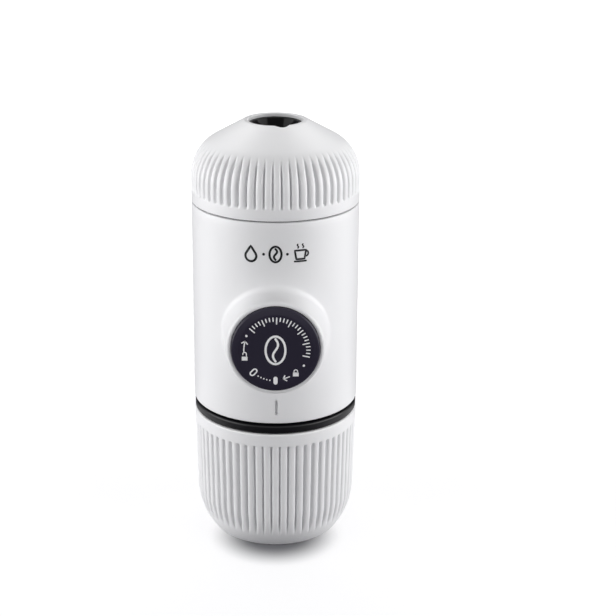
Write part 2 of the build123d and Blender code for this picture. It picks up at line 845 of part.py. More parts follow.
with BuildPart() as return_spring:
    with BuildLine():
        coil = Helix(
            pitch=(spring_back + spring_front) / spring_turns,
            height=spring_back + spring_front,
            radius=spring_radius,
            center=(0, spring_back, knob_height),
            direction=(0, -1, 0),
        )
    with BuildSketch(Plane(coil @ 0, z_dir=coil % 0)):
        Circle(spring_wire)
    sweep(is_frenet=True)
return_spring.part.label = "return_spring"
export_step(return_spring.part, "parts/return_spring.step")

# ---------------------------------------------------------------------------
# Knob: the sleeve with its two lugs, and the cap that carries the marks
# ---------------------------------------------------------------------------

with BuildPart() as knob_sleeve:
    with BuildSketch(across(-knob_sleeve_end)):
        Circle(knob_radius)
        Circle(sleeve_bore, mode=Mode.SUBTRACT)
    extrude(amount=cap_back - knob_sleeve_end)
    with BuildSketch(across(-web_back)):
        Circle(sleeve_bore + slip)
        Circle(rod_neck_radius + shaft_run, mode=Mode.SUBTRACT)
    extrude(amount=knob_web)
    with BuildSketch(across(-knob_sleeve_end)):
        with PolarLocations(knob_radius, 2, start_angle=90):
            Rectangle(4 * lug_height, 2 * lug_reach * sin(radians(lug_angle / 2)))
        Circle(lug_reach, mode=Mode.INTERSECT)
        Circle(knob_radius - lug_height, mode=Mode.SUBTRACT)
    extrude(amount=lug_length)
knob_sleeve.part.label = "knob_sleeve"
export_step(knob_sleeve.part, "parts/knob_sleeve.step")

with BuildPart() as knob_cap:
    with BuildSketch(pump_section):
        with BuildLine():
            Polyline(
                (-knob_face, 0),
                (-knob_face, knob_face_radius),
                (knob_bevel_depth - knob_face, knob_radius),
                (-cap_back, knob_radius),
                (-cap_back, sleeve_bore - slip),
                (knob_clip_space / 2 - cap_back, sleeve_bore - slip),
                (knob_clip_space / 2 - cap_back, sleeve_bore - knob_sleeve_wall),
                (-cap_back, sleeve_bore - knob_sleeve_wall),
                (-cap_back, 0),
                close=True,
            )
        make_face()
    revolve(axis=pump_axis)
    fillet(knob_cap.edges().group_by(Axis.Y)[0], knob_bevel_depth / 2)
knob_cap.part.label = "knob_cap"
export_step(knob_cap.part, "parts/knob_cap.step")

# ---------------------------------------------------------------------------
# Brewing group
# ---------------------------------------------------------------------------


def perforations():
    """Places for rings of holes in a round screen, from the centre out."""
    places = [Location((0, 0))]
    for ring in range(1, perforation_rings + 1):
        places += PolarLocations(ring * perforation_pitch, 6 * ring).locations
    return places


with BuildPart() as group_head:
    with BuildSketch(Plane.XZ):
        with BuildLine():
            Polyline(
                (0, well_bottom - well_floor),
                (well_radius + well_wall, well_bottom - well_floor),
                (well_radius + well_wall, flange_bottom),
                (plate_radius, flange_bottom),
                (plate_radius, flange_top - group_lip),
                (body_bore + group_lip_width - slip, flange_top - group_lip),
                (body_bore + group_lip_width - slip, flange_top),
                (group_neck_radius, flange_top),
                (group_neck_radius, neck_rim),
                (well_radius, neck_rim),
                (well_radius, well_bottom + screen_stand),
                (well_radius - screen_stand, well_bottom + screen_stand),
                (well_radius - screen_stand, well_bottom),
                (0, well_bottom),
                close=True,
            )
        make_face()
    revolve(axis=Axis.Z)
    # seats of the four screws, and the socket of the delivery pipe
    with BuildSketch(Plane.XY.offset(flange_top)):
        with Locations(posts):
            Circle(screw_head_radius + 2 * slip)
    extrude(amount=-screw_head_height - slip, mode=Mode.SUBTRACT)
    with BuildSketch(Plane.XY.offset(flange_top)):
        with Locations(posts):
            Circle(screw_radius + slip)
    extrude(amount=-group_flange, mode=Mode.SUBTRACT)
    with BuildSketch(Plane.XY.offset(group_socket_foot)):
        with Locations((0, duct_offset)):
            Circle(duct_radius + duct_wall)
            Circle(duct_radius + slip, mode=Mode.SUBTRACT)
    extrude(amount=duct_socket)
    with BuildSketch(Plane.XY.offset(well_bottom)):
        with Locations((0, duct_offset - duct_bore)):
            Circle(duct_bore)
    extrude(amount=-well_floor, mode=Mode.SUBTRACT)
group_head.part.label = "group_head"
export_step(group_head.part, "parts/group_head.step")

with BuildPart() as group_screws:
    with BuildSketch(Plane.XY.offset(flange_top - slip)):
        with Locations(posts):
            Circle(screw_head_radius)
    extrude(amount=-screw_head_height)
    with BuildSketch(Plane.XY.offset(flange_top - slip - screw_head_height)):
        with Locations(posts):
            Circle(screw_radius)
    extrude(amount=-group_screw_length)
    chamfer(group_screws.edges().group_by(Axis.Z)[-1], slip)
group_screws.part.label = "group_screws"
export_step(group_screws.part, "parts/group_screws.step")

with BuildPart() as shower_screen:
    with BuildSketch(Plane.XY.offset(well_bottom + screen_stand)):
        Circle(well_radius - slip)
        with Locations(perforations()):
            Circle(perforation_radius, mode=Mode.SUBTRACT)
    extrude(amount=screen_thickness)
shower_screen.part.label = "shower_screen"
export_step(shower_screen.part, "parts/shower_screen.step")

with BuildPart() as group_gasket:
    with BuildSketch(Plane.XY.offset(neck_rim)):
        Circle(group_neck_radius - 2 * slip)
        Circle(well_radius + 2 * slip, mode=Mode.SUBTRACT)
    extrude(amount=gasket_height)
group_gasket.part.label = "group_gasket"
export_step(group_gasket.part, "parts/group_gasket.step")

with BuildPart() as filter_basket:
    with BuildSketch(Plane.XY.offset(basket_bottom)):
        Circle(basket_radius)
    extrude(amount=basket_depth)
    fillet(filter_basket.edges().group_by(Axis.Z)[0], 2 * basket_wall)
    with BuildSketch(Plane.XY.offset(gasket_top)):
        Circle(basket_flange_radius)
    extrude(amount=basket_flange)
    with BuildSketch(Plane.XY.offset(basket_bottom + basket_wall)):
        Circle(basket_radius - basket_wall)
    extrude(amount=basket_depth + basket_flange, mode=Mode.SUBTRACT)
    with BuildSketch(Plane.XY.offset(basket_bottom)):
        with Locations(perforations()):
            Circle(perforation_radius)
    extrude(amount=basket_wall, mode=Mode.SUBTRACT)
filter_basket.part.label = "filter_basket"
export_step(filter_basket.part, "parts/filter_basket.step")

scoop_radius = basket_radius - basket_wall - run
scoop_foot = basket_bottom + basket_wall + slip

with BuildPart() as scoop:
    with BuildSketch(Plane.XY.offset(scoop_foot)):
        Circle(scoop_radius)
    extrude(amount=scoop_height)
    fillet(scoop.edges().group_by(Axis.Z)[0], scoop_wall)
    with BuildSketch(Plane.XY.offset(scoop_foot + scoop_floor)):
        Circle(scoop_radius - scoop_wall)
    extrude(amount=scoop_height, mode=Mode.SUBTRACT)
    with BuildSketch(Plane.XZ.offset(-scoop_radius)):
        with Locations((0, scoop_foot + scoop_height)):
            Circle(scoop_notch)
    extrude(amount=2 * scoop_radius, mode=Mode.SUBTRACT)
scoop.part.label = "scoop"
export_step(scoop.part, "parts/scoop.step")

# ---------------------------------------------------------------------------
# Outlet head: portafilter, its seal, screen and valve, the nozzle and the shell
# ---------------------------------------------------------------------------

with BuildPart() as portafilter_seal:
    with BuildSketch(Plane.XY.offset(basket_top)):
        Circle(basket_flange_radius)
        Circle(basket_flange_radius - portafilter_seal_width, mode=Mode.SUBTRACT)
    extrude(amount=portafilter_seal_height)
portafilter_seal.part.label = "portafilter_seal"
export_step(portafilter_seal.part, "parts/portafilter_seal.step")

outlet_screen_radius = basket_flange_radius - portafilter_seal_width - 2 * run

with BuildPart() as portafilter:
    with BuildSketch(Plane.XZ):
        with BuildLine():
            Polyline(
                (skirt_bore, head_bottom),
                (body_radius - head_wall - slip, head_bottom),
                (body_radius - head_wall - slip, head_bottom + portafilter_rim),
                (skirt_radius, head_bottom + portafilter_rim),
                (skirt_radius, portafilter_foot + portafilter_plate),
                (outlet_column_radius, portafilter_foot + portafilter_plate),
                (outlet_column_radius, nozzle_foot),
                (valve_chamber_radius, nozzle_foot),
                (valve_chamber_radius, valve_seat),
                (outlet_port, valve_seat),
                (outlet_port, chamber_top),
                (outlet_screen_radius - outlet_screen_step, chamber_top),
                (outlet_screen_radius - outlet_screen_step, portafilter_foot + screen_thickness),
                (outlet_screen_radius, portafilter_foot + screen_thickness),
                (outlet_screen_radius, portafilter_foot),
                (skirt_bore, portafilter_foot),
                close=True,
            )
        make_face()
    revolve(axis=Axis.Z)
portafilter.part.label = "portafilter"
export_step(portafilter.part, "parts/portafilter.step")

with BuildPart() as outlet_screen:
    with BuildSketch(Plane.XY.offset(portafilter_foot)):
        Circle(outlet_screen_radius - slip)
        with Locations(perforations()):
            Circle(perforation_radius, mode=Mode.SUBTRACT)
    extrude(amount=screen_thickness)
outlet_screen.part.label = "outlet_screen"
export_step(outlet_screen.part, "parts/outlet_screen.step")

with BuildPart() as outlet_valve:
    with BuildSketch(Plane.XY.offset(valve_seat + slip)):
        Circle(outlet_valve_radius)
    extrude(amount=outlet_valve_disc)
    with BuildSketch(Plane.XY.offset(valve_seat + slip + outlet_valve_disc)):
        Circle(outlet_valve_stem)
    extrude(amount=outlet_valve_stem_length)
outlet_valve.part.label = "outlet_valve"
export_step(outlet_valve.part, "parts/outlet_valve.step")

valve_spring_foot = valve_seat + 2 * slip + outlet_valve_disc + valve_spring_wire
valve_spring_height = nozzle_foot - slip - valve_spring_wire - valve_spring_foot

with BuildPart() as valve_spring:
    with BuildLine():
        coil = Helix(
            pitch=valve_spring_height / valve_spring_turns,
            height=valve_spring_height,
            radius=valve_spring_radius,
            center=(0, 0, valve_spring_foot),
        )
    with BuildSketch(Plane(coil @ 0, z_dir=coil % 0)):
        Circle(valve_spring_wire)
    sweep(is_frenet=True)
valve_spring.part.label = "valve_spring"
export_step(valve_spring.part, "parts/valve_spring.step")

nozzle_radius = nozzle_hole - slip
nozzle_shoulder = inside_head(nozzle_flange_radius) - slip
notch_foot = nozzle_top - nozzle_drop
notch_outer = nozzle_hole + notch_reach

with BuildPart() as nozzle:
    with BuildSketch(Plane.XZ):
        with BuildLine():
            Polyline(
                (0, nozzle_foot),
                (nozzle_flange_radius, nozzle_foot),
                (nozzle_flange_radius, nozzle_shoulder),
                (nozzle_radius, nozzle_shoulder),
                (nozzle_radius, nozzle_top),
                (nozzle_recess, nozzle_top),
                (nozzle_recess_floor, nozzle_foot + nozzle_floor),
                (0, nozzle_foot + nozzle_floor),
                close=True,
            )
        make_face()
    revolve(axis=Axis.Z)
    # the tab that fills the notch in the lip
    with BuildSketch(Plane.XY.offset(notch_foot)):
        with Locations((notch_shift, -(notch_outer - slip) / 2)):
            RectangleRounded(notch_width - 2 * slip, notch_outer - slip, notch_round - slip)
        Circle(nozzle_recess, mode=Mode.SUBTRACT)
    extrude(amount=nozzle_top - notch_foot + slip)
    with BuildSketch(Plane.XY.offset(nozzle_foot)):
        with PolarLocations(nozzle_jet_circle_radius, nozzle_jets, start_angle=90):
            Circle(nozzle_jet_radius)
    extrude(amount=nozzle_floor, mode=Mode.SUBTRACT)
nozzle.part.label = "nozzle"
export_step(nozzle.part, "parts/nozzle.step")

shoulder_fade = radians(head_groove_fade)
shoulder_lift = head_shoulder + groove_depth + slip
head_groove = groove_cutter(
    (body_radius, head_bottom + head_groove_start),
    (body_radius, head_bend),
    (
        body_radius - head_shoulder + shoulder_lift * cos(shoulder_fade),
        head_bend + shoulder_lift * sin(shoulder_fade),
    ),
)

with BuildPart() as head_shell:
    with BuildSketch(Plane.XZ) as head_outside:
        Polygon(
            (0, head_bottom),
            (body_radius, head_bottom),
            (body_radius, head_corner),
            (lip_radius, head_top),
            (0, head_top),
            align=None,
        )
        fillet(vertex_near(head_outside, body_radius, head_corner), head_shoulder)
        fillet(vertex_near(head_outside, lip_radius, head_top), lip_width)
    revolve(axis=Axis.Z)
    with BuildSketch(Plane.XZ) as head_inside:
        Polygon(
            (0, head_bottom),
            (body_radius - head_wall, head_bottom),
            (body_radius - head_wall, inside_head(body_radius - head_wall)),
            (nozzle_hole, inside_head(nozzle_hole)),
            (nozzle_hole, head_top),
            (0, head_top),
            align=None,
        )
        inner_corner = vertex_near(
            head_inside, body_radius - head_wall, inside_head(body_radius - head_wall)
        )
        fillet(inner_corner, head_shoulder - head_wall)
    revolve(axis=Axis.Z, mode=Mode.SUBTRACT)
    lip_edge = head_shell.edges().filter_by(GeomType.CIRCLE).group_by(Axis.Z)[-1]
    fillet(lip_edge.sort_by(Edge.length)[0], lip_round)
    with PolarLocations(0, rib_count, start_angle=180 / rib_count + head_turn):
        add(head_groove, mode=Mode.SUBTRACT)
    with BuildSketch(Plane.XY.offset(notch_foot - slip)):
        with Locations((notch_shift, -notch_outer / 2)):
            RectangleRounded(notch_width, notch_outer, notch_round)
    extrude(amount=head_height, mode=Mode.SUBTRACT)
head_shell.part.label = "head_shell"
export_step(head_shell.part, "parts/head_shell.step")
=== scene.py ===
# %% [markdown]
# # A hand-pumped travel espresso maker
#
# The maker is closed up for travel. It stands on its ribbed cup, the water tank sits in the
# cup with only its dark collar showing, the pump's knob looks out of the body, and a ribbed
# outlet head closes the top. All of it is moulded plastic, turned round one upright axis,
# except for the pump, which lies across the body.
#
# The frame holds the exact solids of every piece and the bodies that they move with. Each
# piece that shows is made again here with finer forms, in the same place, and rides on the
# same body. Sizes are in millimetres and become metres where a corner is placed.

# %% The frame
from math import asin, atan2, ceil, cos, hypot, pi, radians, sin, sqrt, tan

import bmesh
import bpy
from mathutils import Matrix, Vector


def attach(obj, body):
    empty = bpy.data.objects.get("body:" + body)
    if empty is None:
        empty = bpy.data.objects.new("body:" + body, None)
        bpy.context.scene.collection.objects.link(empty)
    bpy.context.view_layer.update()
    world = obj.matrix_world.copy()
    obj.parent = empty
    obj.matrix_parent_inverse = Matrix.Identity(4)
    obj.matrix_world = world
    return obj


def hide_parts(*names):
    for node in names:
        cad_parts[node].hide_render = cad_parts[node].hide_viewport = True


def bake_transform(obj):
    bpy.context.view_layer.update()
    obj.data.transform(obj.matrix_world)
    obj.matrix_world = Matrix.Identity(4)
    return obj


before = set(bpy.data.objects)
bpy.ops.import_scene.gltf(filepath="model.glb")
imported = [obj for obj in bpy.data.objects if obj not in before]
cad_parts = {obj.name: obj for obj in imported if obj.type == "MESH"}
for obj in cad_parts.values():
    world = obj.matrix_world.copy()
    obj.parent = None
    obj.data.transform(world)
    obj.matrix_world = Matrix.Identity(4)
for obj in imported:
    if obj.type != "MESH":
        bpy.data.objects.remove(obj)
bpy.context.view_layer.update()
MM = 0.001
print("solids in the frame:", len(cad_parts))

# %% [markdown]
# ## Tools for modelling
#
# Most pieces of the maker are turned: a flat outline goes once round an axis. By hand one
# would draw the outline corner by corner with Extrude and then use Spin, and the tools
# below do just that. The other way, a Screw modifier on a curve, gives the same shape but
# leaves less say over where its columns of faces stand, and the ribs need them in step.

# %% Leave the last piece, add the next one and modify it
def let_go():
    """Goes back to object mode with nothing selected, so the next operator acts on one piece."""
    if bpy.context.object and bpy.context.object.mode == "EDIT":
        bpy.ops.object.mode_set(mode="OBJECT")
    bpy.ops.object.select_all(action="DESELECT")


def take(piece):
    """Makes this the one piece that the next operator acts on."""
    let_go()
    piece.select_set(True)
    bpy.context.view_layer.objects.active = piece


def named(name):
    """Names what the last operator made, and gives it back."""
    piece = bpy.context.object
    piece.name = piece.data.name = name
    return piece


def add(primitive, name, scale=(1, 1, 1), **settings):
    """Adds a primitive, names it, and moves its place and scale into its mesh."""
    let_go()
    primitive(**settings)
    piece = named(name)
    piece.scale = scale
    bpy.ops.object.transform_apply()
    return piece


def modify(piece, kind, **settings):
    """Gives the active piece a modifier with its settings, and applies it."""
    bpy.ops.object.modifier_add(type=kind)
    modifier = piece.modifiers[-1]
    for setting, value in settings.items():
        setattr(modifier, setting, value)
    bpy.ops.object.modifier_apply(modifier=modifier.name)


# %% Pick corners
def pick_all():
    """Selects the whole piece, in edit mode."""
    bpy.ops.mesh.select_all(action="SELECT")


def pick(test):
    """Selects, in edit mode, the corners whose x, y and z in mm pass the test."""
    mesh = bmesh.from_edit_mesh(bpy.context.object.data)
    for part in (*mesh.verts, *mesh.edges, *mesh.faces):
        part.select = False
    for corner in mesh.verts:
        corner.select = bool(test(*(c / MM for c in corner.co)))
    mesh.select_flush(True)
    bmesh.update_edit_mesh(bpy.context.object.data)


# %% Draw an outline with rounded corners
def swung(centre, arm, angle):
    """Where the end of an arm comes to when it swings round its centre."""
    return (
        centre.x + arm.x * cos(angle) - arm.y * sin(angle),
        centre.y + arm.x * sin(angle) + arm.y * cos(angle),
    )


def outline(*corners, closed=False, step=12):
    """Points through corners (r, h) or (r, h, round); a rounded corner becomes an arc."""
    points = []
    for i, (r, h, *rounding) in enumerate(corners):
        here = Vector((r, h))
        if not rounding or (not closed and i in (0, len(corners) - 1)):
            points.append((r, h))
            continue
        back = (Vector(corners[i - 1][:2]) - here).normalized()
        ahead = (Vector(corners[(i + 1) % len(corners)][:2]) - here).normalized()
        half = back.angle(ahead) / 2
        centre = here + (back + ahead).normalized() * rounding[0] / sin(half)
        arm = here + back * rounding[0] / tan(half) - centre
        side = 1 if back.x * ahead.y - back.y * ahead.x < 0 else -1
        count = max(2, ceil((180 - 2 * half * 180 / pi) / step))
        for k in range(count + 1):
            points.append(swung(centre, arm, side * (pi - 2 * half) * k / count))
    if closed:
        points.append(points[0])
    return points


# %% Extrude the outline and spin it
PUMP_HEIGHT = 84.5
WELD = 0.004


def turn(name, line, steps, across=False, sweep=2 * pi):
    """Spins an outline of (radius, height) points round the maker's axis, or round the pump's."""
    pivot = (0, 0, PUMP_HEIGHT * MM if across else 0)
    axis = (0, 1, 0) if across else (0, 0, 1)
    places = [Vector((0, h, PUMP_HEIGHT + r) if across else (r, 0, h)) * MM for r, h in line]
    piece = add(bpy.ops.mesh.primitive_plane_add, name, size=MM, location=places[0])
    bpy.ops.object.mode_set(mode="EDIT")
    bpy.ops.mesh.merge(type="CENTER")
    for start, end in zip(places, places[1:]):
        bpy.ops.mesh.extrude_region_move(TRANSFORM_OT_translate={"value": end - start})
    pick_all()
    bpy.ops.mesh.spin(steps=steps, angle=sweep, center=pivot, axis=axis)
    clean()
    return piece


def turned(name, steps, *corners, closed=False, step=12, across=False):
    """Turns a piece from its outline's corners, in one go."""
    return turn(name, outline(*corners, closed=closed, step=step), steps, across)


def clean():
    """Merges corners that meet and turns every face outwards, in edit mode."""
    pick_all()
    bpy.ops.mesh.remove_doubles(threshold=WELD * MM)
    bpy.ops.mesh.normals_make_consistent(inside=False)
    bpy.ops.mesh.select_all(action="DESELECT")


# %% Set a finished piece on its body
SHARP_EDGE = radians(35)


def seat(piece, body, finish, surface, *stands_for):
    """Shades the piece, gives it its surface and lets it ride on a body in place of solids.
    Its finish argument is not used.

    A spring gives two bodies instead of one, and where its wire starts to follow each, but
    these are not used: the spring is only fixed where it stands."""
    take(piece)
    bpy.ops.object.shade_smooth_by_angle(angle=SHARP_EDGE)
    piece.data.materials.clear()
    piece.data.materials.append(surface)
    if isinstance(body, str):
        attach(piece, body)
    else:
        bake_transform(piece)
    if stands_for:
        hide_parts(*stands_for)
    triangles = sum(len(face.vertices) - 2 for face in piece.data.polygons)
    print(piece.name, "rides on", body, "with", triangles, "triangles")


# %% [markdown]
# ## The camera
#
# A long lens from a little above the maker's top looks down on it by about twenty degrees.
# The lens is long enough that the upright sides stay almost parallel. The maker stands left
# of the picture's middle, and a small shift of the lens puts it there without turning the
# camera, which would lean the sides.

# %% The camera
LOOK_DOWN = 20.05
PICTURE_WIDTH, LEFT_OF_MIDDLE = 616, 32.5
bpy.ops.object.camera_add(
    location=(0, -0.53645, 0.28097), rotation=(radians(90 - LOOK_DOWN), 0, 0)
)
camera = named("product_camera")
camera.data.sensor_width = 36
camera.data.lens = 90.75
camera.data.shift_x = LEFT_OF_MIDDLE / PICTURE_WIDTH
bpy.context.scene.camera = camera
print("a lens of", camera.data.lens, "mm that looks down by", LOOK_DOWN, "degrees")

# %% [markdown]
# ## Colours and nodes
#
# Colours are chosen as a maker's colour card gives them, as sRGB hex values, and the shader
# wants linear light, so one function turns them. Another adds a node with its settings and
# its links in one line, so a material reads like a recipe.

# %% Colour and node tools
def paint(code):
    """An sRGB hex colour as linear light."""
    parts = [int(code[i : i + 2], 16) / 255 for i in (1, 3, 5)]
    return (*(p / 12.92 if p <= 0.04045 else ((p + 0.055) / 1.055) ** 2.4 for p in parts), 1)


def add_node(tree, kind, settings=None, **links):
    """Adds a node, sets its properties or sockets, and links its sockets from others."""
    node = tree.nodes.new("ShaderNode" + kind)
    for name, value in (settings or {}).items():
        if hasattr(node, name):
            setattr(node, name, value)
        else:
            node.inputs[int(name) if name.isdigit() else name].default_value = value
    for name, source in links.items():
        name = name.replace("_", " ")
        tree.links.new(source, node.inputs[int(name[1:]) if name[1:].isdigit() else name])
    return node


def new_material(name, settings):
    """A material with one Principled shader set directly, and its tree for the patterns."""
    material = bpy.data.materials.new(name)
    material.use_nodes = True
    shader = material.node_tree.nodes["Principled BSDF"]
    for socket, value in settings.items():
        shader.inputs[socket].default_value = value
    print("material:", name)
    return material, material.node_tree, shader


# %% [markdown]
# ### White ABS, moulded against a fine spark-eroded steel
#
# The shells are white ABS. Their mould was eaten out by sparks to a fine matt grain of about
# a tenth of a millimetre, which breaks up reflections into a broad soft sheen. The grain is
# drawn as a low bump, three times as coarse as real so that it shows, and a second, much
# larger and very faint noise stands for the slow waviness that moulded walls have.

# %% Patterns on a material
def textured(finish, broad, fine, colours, rough, spread, strength, depth):
    """Lets a broad pattern vary colour and roughness, and a fine one raise a grain.

    rough is the middle roughness and spread how far it varies; depth is the grain's, in mm."""
    material, tree, shader = finish
    tint = add_node(
        tree, "Mix", {"data_type": "RGBA", "6": colours[0], "7": colours[1]},
        Factor=broad.outputs["Fac"],
    )
    gloss = add_node(
        tree, "MapRange", {"To Min": rough - spread, "To Max": rough + spread},
        Value=broad.outputs["Fac"],
    )
    relief = add_node(
        tree, "Bump", {"Strength": strength, "Distance": depth * MM}, Height=fine.outputs["Fac"]
    )
    tree.links.new(tint.outputs[2], shader.inputs["Base Color"])
    tree.links.new(gloss.outputs["Result"], shader.inputs["Roughness"])
    tree.links.new(relief.outputs["Normal"], shader.inputs["Normal"])
    return material


# %% White shell
WAVINESS = 18


def moulded(name, colour, rough, spread, grain, depth, second, sheen=0.5):
    """A moulded plastic that varies between two close colours; grain and depth are in mm."""
    finish = new_material(name, {"IOR": 1.5, "Metallic": 0.0, "Specular IOR Level": sheen})
    tree = finish[1]
    place = add_node(tree, "TexCoord").outputs["Object"]
    fine = add_node(tree, "TexNoise", {"Scale": 1 / (grain * MM), "Detail": 3.0}, Vector=place)
    broad = add_node(
        tree, "TexNoise", {"Scale": 1 / (WAVINESS * MM), "Detail": 2.0}, Vector=place
    )
    colours = paint(colour), paint(second)
    return textured(finish, broad, fine, colours, rough, spread, 1.0, depth)


white_abs = moulded("white_ABS_fine_grain", "#F2F2F3", 0.38, 0.03, 0.35, 0.004, "#EFEFF1", 0.5)

# %% [markdown]
# ## The ribbed cup
#
# Sixty soft ribs run down the cup, each about three millimetres from the next. One could cut
# sixty grooves with a Boolean, but the cuts would leave broken faces that shade badly. A
# mould maker thinks of one rib and repeats it, and so does this: one sixtieth of the cup is
# spun as a narrow wedge, the middle of it is pressed in towards the axis, and the wedge is
# copied round.

# %% One rib, repeated
RIBS = 60
ACROSS_RIB = 12
LEAST_PRESS = 0.001
HEIGHT_SLACK, PLACE_SLACK = 0.002, 0.05
# how far each column of a rib's wedge is pressed in, from the groove's middle outwards
GROOVE = (1.35, 0.9, 0.36, 0.14, 0.06, 0.02, 0.0)


def ribbed(name, line, groove_depth):
    """Spins one rib's wedge, presses its groove in and repeats it.

    groove_depth(radius, height) is 1 where the groove is full and 0 where there is none."""
    wedge = 2 * pi / RIBS
    piece = turn(name, line, ACROSS_RIB, sweep=wedge)
    grooved = {(round(r, 4), round(h, 4)) for r, h in line if groove_depth(r, h) > LEAST_PRESS}
    for r, h in sorted(grooved):
        for column in range(ACROSS_RIB + 1):
            press = GROOVE[abs(column - ACROSS_RIB // 2)] * groove_depth(r, h)
            if press < LEAST_PRESS:
                continue
            angle = wedge * column / ACROSS_RIB
            pick(
                lambda x, y, z: abs(z - h) < HEIGHT_SLACK
                and hypot(x - r * cos(angle), y + r * sin(angle)) < PLACE_SLACK
            )
            bpy.ops.transform.resize(
                value=(1 - press / r, 1 - press / r, 1), center_override=(0, 0, h * MM)
            )
    pick_all()
    bpy.ops.mesh.spin(
        steps=RIBS - 1, angle=wedge * (RIBS - 1), center=(0, 0, 0), axis=(0, 0, 1), dupli=True
    )
    clean()
    return piece


# %% A smooth bend from a straight wall to a given end
def bend(start, heading, end, count):
    """Points of the arc that leaves a point along a heading and ends at another point."""
    chord = Vector(end) - Vector(start)
    ahead = Vector(heading).normalized()
    lean = atan2(ahead.x * chord.y - ahead.y * chord.x, ahead.dot(chord))
    radius = chord.length / (2 * sin(lean))
    centre = Vector(start) + Vector((-ahead.y, ahead.x)) * radius
    arm = Vector(start) - centre
    return [swung(centre, arm, 2 * lean * k / count) for k in range(1, count + 1)]


def ease(value, low, high):
    """Rises smoothly from 0 at low to 1 at high."""
    t = min(max((value - low) / (high - low), 0), 1)
    return t * t * (3 - 2 * t)


# %% The cup
CUP_WAIST, CUP_RIM, CUP_FLOOR = 16.3, 47.7, 2.2
wall_lean = (-0.65, CUP_WAIST - CUP_RIM)
cup_outside = bend((29.35, CUP_WAIST), wall_lean, (23.4, 0), 16)
cup_inside = bend((27.35, CUP_WAIST), wall_lean, (21.4, CUP_FLOOR), 8)
cup_line = [
    (0, CUP_FLOOR),
    *reversed(cup_inside),
    (27.35, CUP_WAIST),
    *outline((27.6, 28.4), (28.0, CUP_RIM, 0.7), (30.0, CUP_RIM, 0.7), (29.91, 43.4)),
    (29.903, 43.0), (29.899, 42.8), (29.893, 42.5), (29.884, 42.1), (29.8, 38.0),
    (29.6, 28.4), (29.45, 21.1), (29.35, CUP_WAIST),
    *cup_outside[:-1],
    *outline(
        cup_outside[-2], (*cup_outside[-1], 0.6), (20.6, 0, 0.2), (20.2, 0.5, 0.2), (0, 0.5)
    )[1:],
]


def cup_groove(radius, height):
    """Full from just under the rim to the foot's bend, where it runs out."""
    inside = radius < 24 or height > 20 and radius < 27.2 + 0.03 * height
    if inside or not 4 <= height <= 43.05:
        return 0
    return min(1 - ease(height, 42.1, 43.0), ease(height, 5.2, 11.5))


cup_ribs = ribbed("cup_ribbed", cup_line, cup_groove)
seat(cup_ribs, "cup", "white_shell", white_abs, "cup")

# %% [markdown]
# ## The outlet head
#
# The dome is the cup's counterpart: the same sixty ribs climb its side and fade out where
# the shoulder rolls over into a straight cone. The cone ends in a rounded lip round the
# mouth. It is spun from one rib's wedge again, and its mouth gets a notch for the tab of
# the black spout insert. The notch is cut through the lip alone with a Boolean, where the
# broken faces are small and flat.

# %% The outlet head's dome
HEAD_FOOT, HEAD_TOP, HEAD_SIDE, HEAD_INSIDE = 127.3, 156.0, 30.1, 27.9
HEAD_TURN = 1.2
SHOULDER = 14.8
SLOPE = radians(29.4)
LIP, MOUTH = 11.2, 9.6
HEAD_WALL = 2.2


def cone_height(radius, wall=0):
    """The height of the cone's outer face, or of its inner face a wall further in."""
    return HEAD_TOP - tan(SLOPE) * (radius - LIP) - wall / cos(SLOPE)


head_corner = cone_height(HEAD_SIDE)
head_bend = head_corner - SHOULDER * tan((pi / 2 - SLOPE) / 2)
dome_line = [
    *outline((29.0, HEAD_FOOT), (HEAD_SIDE, HEAD_FOOT, 0.35), (HEAD_SIDE, 131.0)),
    *((HEAD_SIDE, height) for height in (131.2, 131.4, 131.7, 132.1, 134.4)),
    *outline(
        (HEAD_SIDE, 135.0), (HEAD_SIDE, head_corner, SHOULDER), (LIP, HEAD_TOP, 1.6),
        (MOUTH, HEAD_TOP, 0.45), (MOUTH, cone_height(MOUTH, HEAD_WALL), 0.2),
        (HEAD_INSIDE, cone_height(HEAD_INSIDE, HEAD_WALL), 12.6), (HEAD_INSIDE, HEAD_FOOT, 0.2),
        (29.0, HEAD_FOOT), step=4,
    )[1:],
]


def dome_groove(radius, height):
    """Full up the side and the first of the shoulder, where it fades away."""
    over = asin(min(max((height - head_bend) / SHOULDER, 0), 1))
    outer = HEAD_SIDE - SHOULDER * (1 - cos(over))
    if abs(radius - outer) > 0.02 or over > radians(56):
        return 0
    return min(ease(height, 131.2, 132.1), 1 - ease(over, radians(26), radians(54)))


dome = ribbed("outlet_dome", dome_line, dome_groove)
# the head is screwed on until its ribs stand a little past the cup's
take(dome)
dome.rotation_euler.z = radians(HEAD_TURN)
bpy.ops.object.transform_apply()

# %% Cut the notch
NOTCH = (2.0, -8.75)


def upright_round(name, radius, low, high, x, y, steps):
    """An upright cylinder."""
    return add(
        bpy.ops.mesh.primitive_cylinder_add, name, vertices=steps, radius=radius * MM,
        depth=(high - low) * MM, location=(x * MM, y * MM, (low + high) / 2 * MM),
    )


def carve(piece, cutter):
    """Takes the cutter's space out of the piece, and the cutter away."""
    take(piece)
    modify(piece, "BOOLEAN", operation="DIFFERENCE", solver="EXACT", object=cutter)
    bpy.data.objects.remove(cutter, do_unlink=True)


carve(dome, upright_round("notch_cutter", 2.75, 153.7, 160, *NOTCH, 40))
seat(dome, "outlet_head", "white_shell", white_abs, "head_shell")

# %% [markdown]
# ## The body and its boss
#
# The body is a plain tube, but a round boss grows out of it towards the knob, and where the
# two meet, a rolled fillet of even radius runs round in a saddle shape. This is the form
# that took the mould maker the most skill. A Boolean of a tube and a cone followed by Bevel
# tears at the sides, where the surfaces meet at a shallow angle, and a remesh ripples under
# a soft sheen. So the skin is laid in rings: each ring goes round the pump's axis, and every
# corner is put exactly where a ball rolled along the joint would touch. Outside the boss the
# rings open out into a rectangle, which the rest of the tube joins.

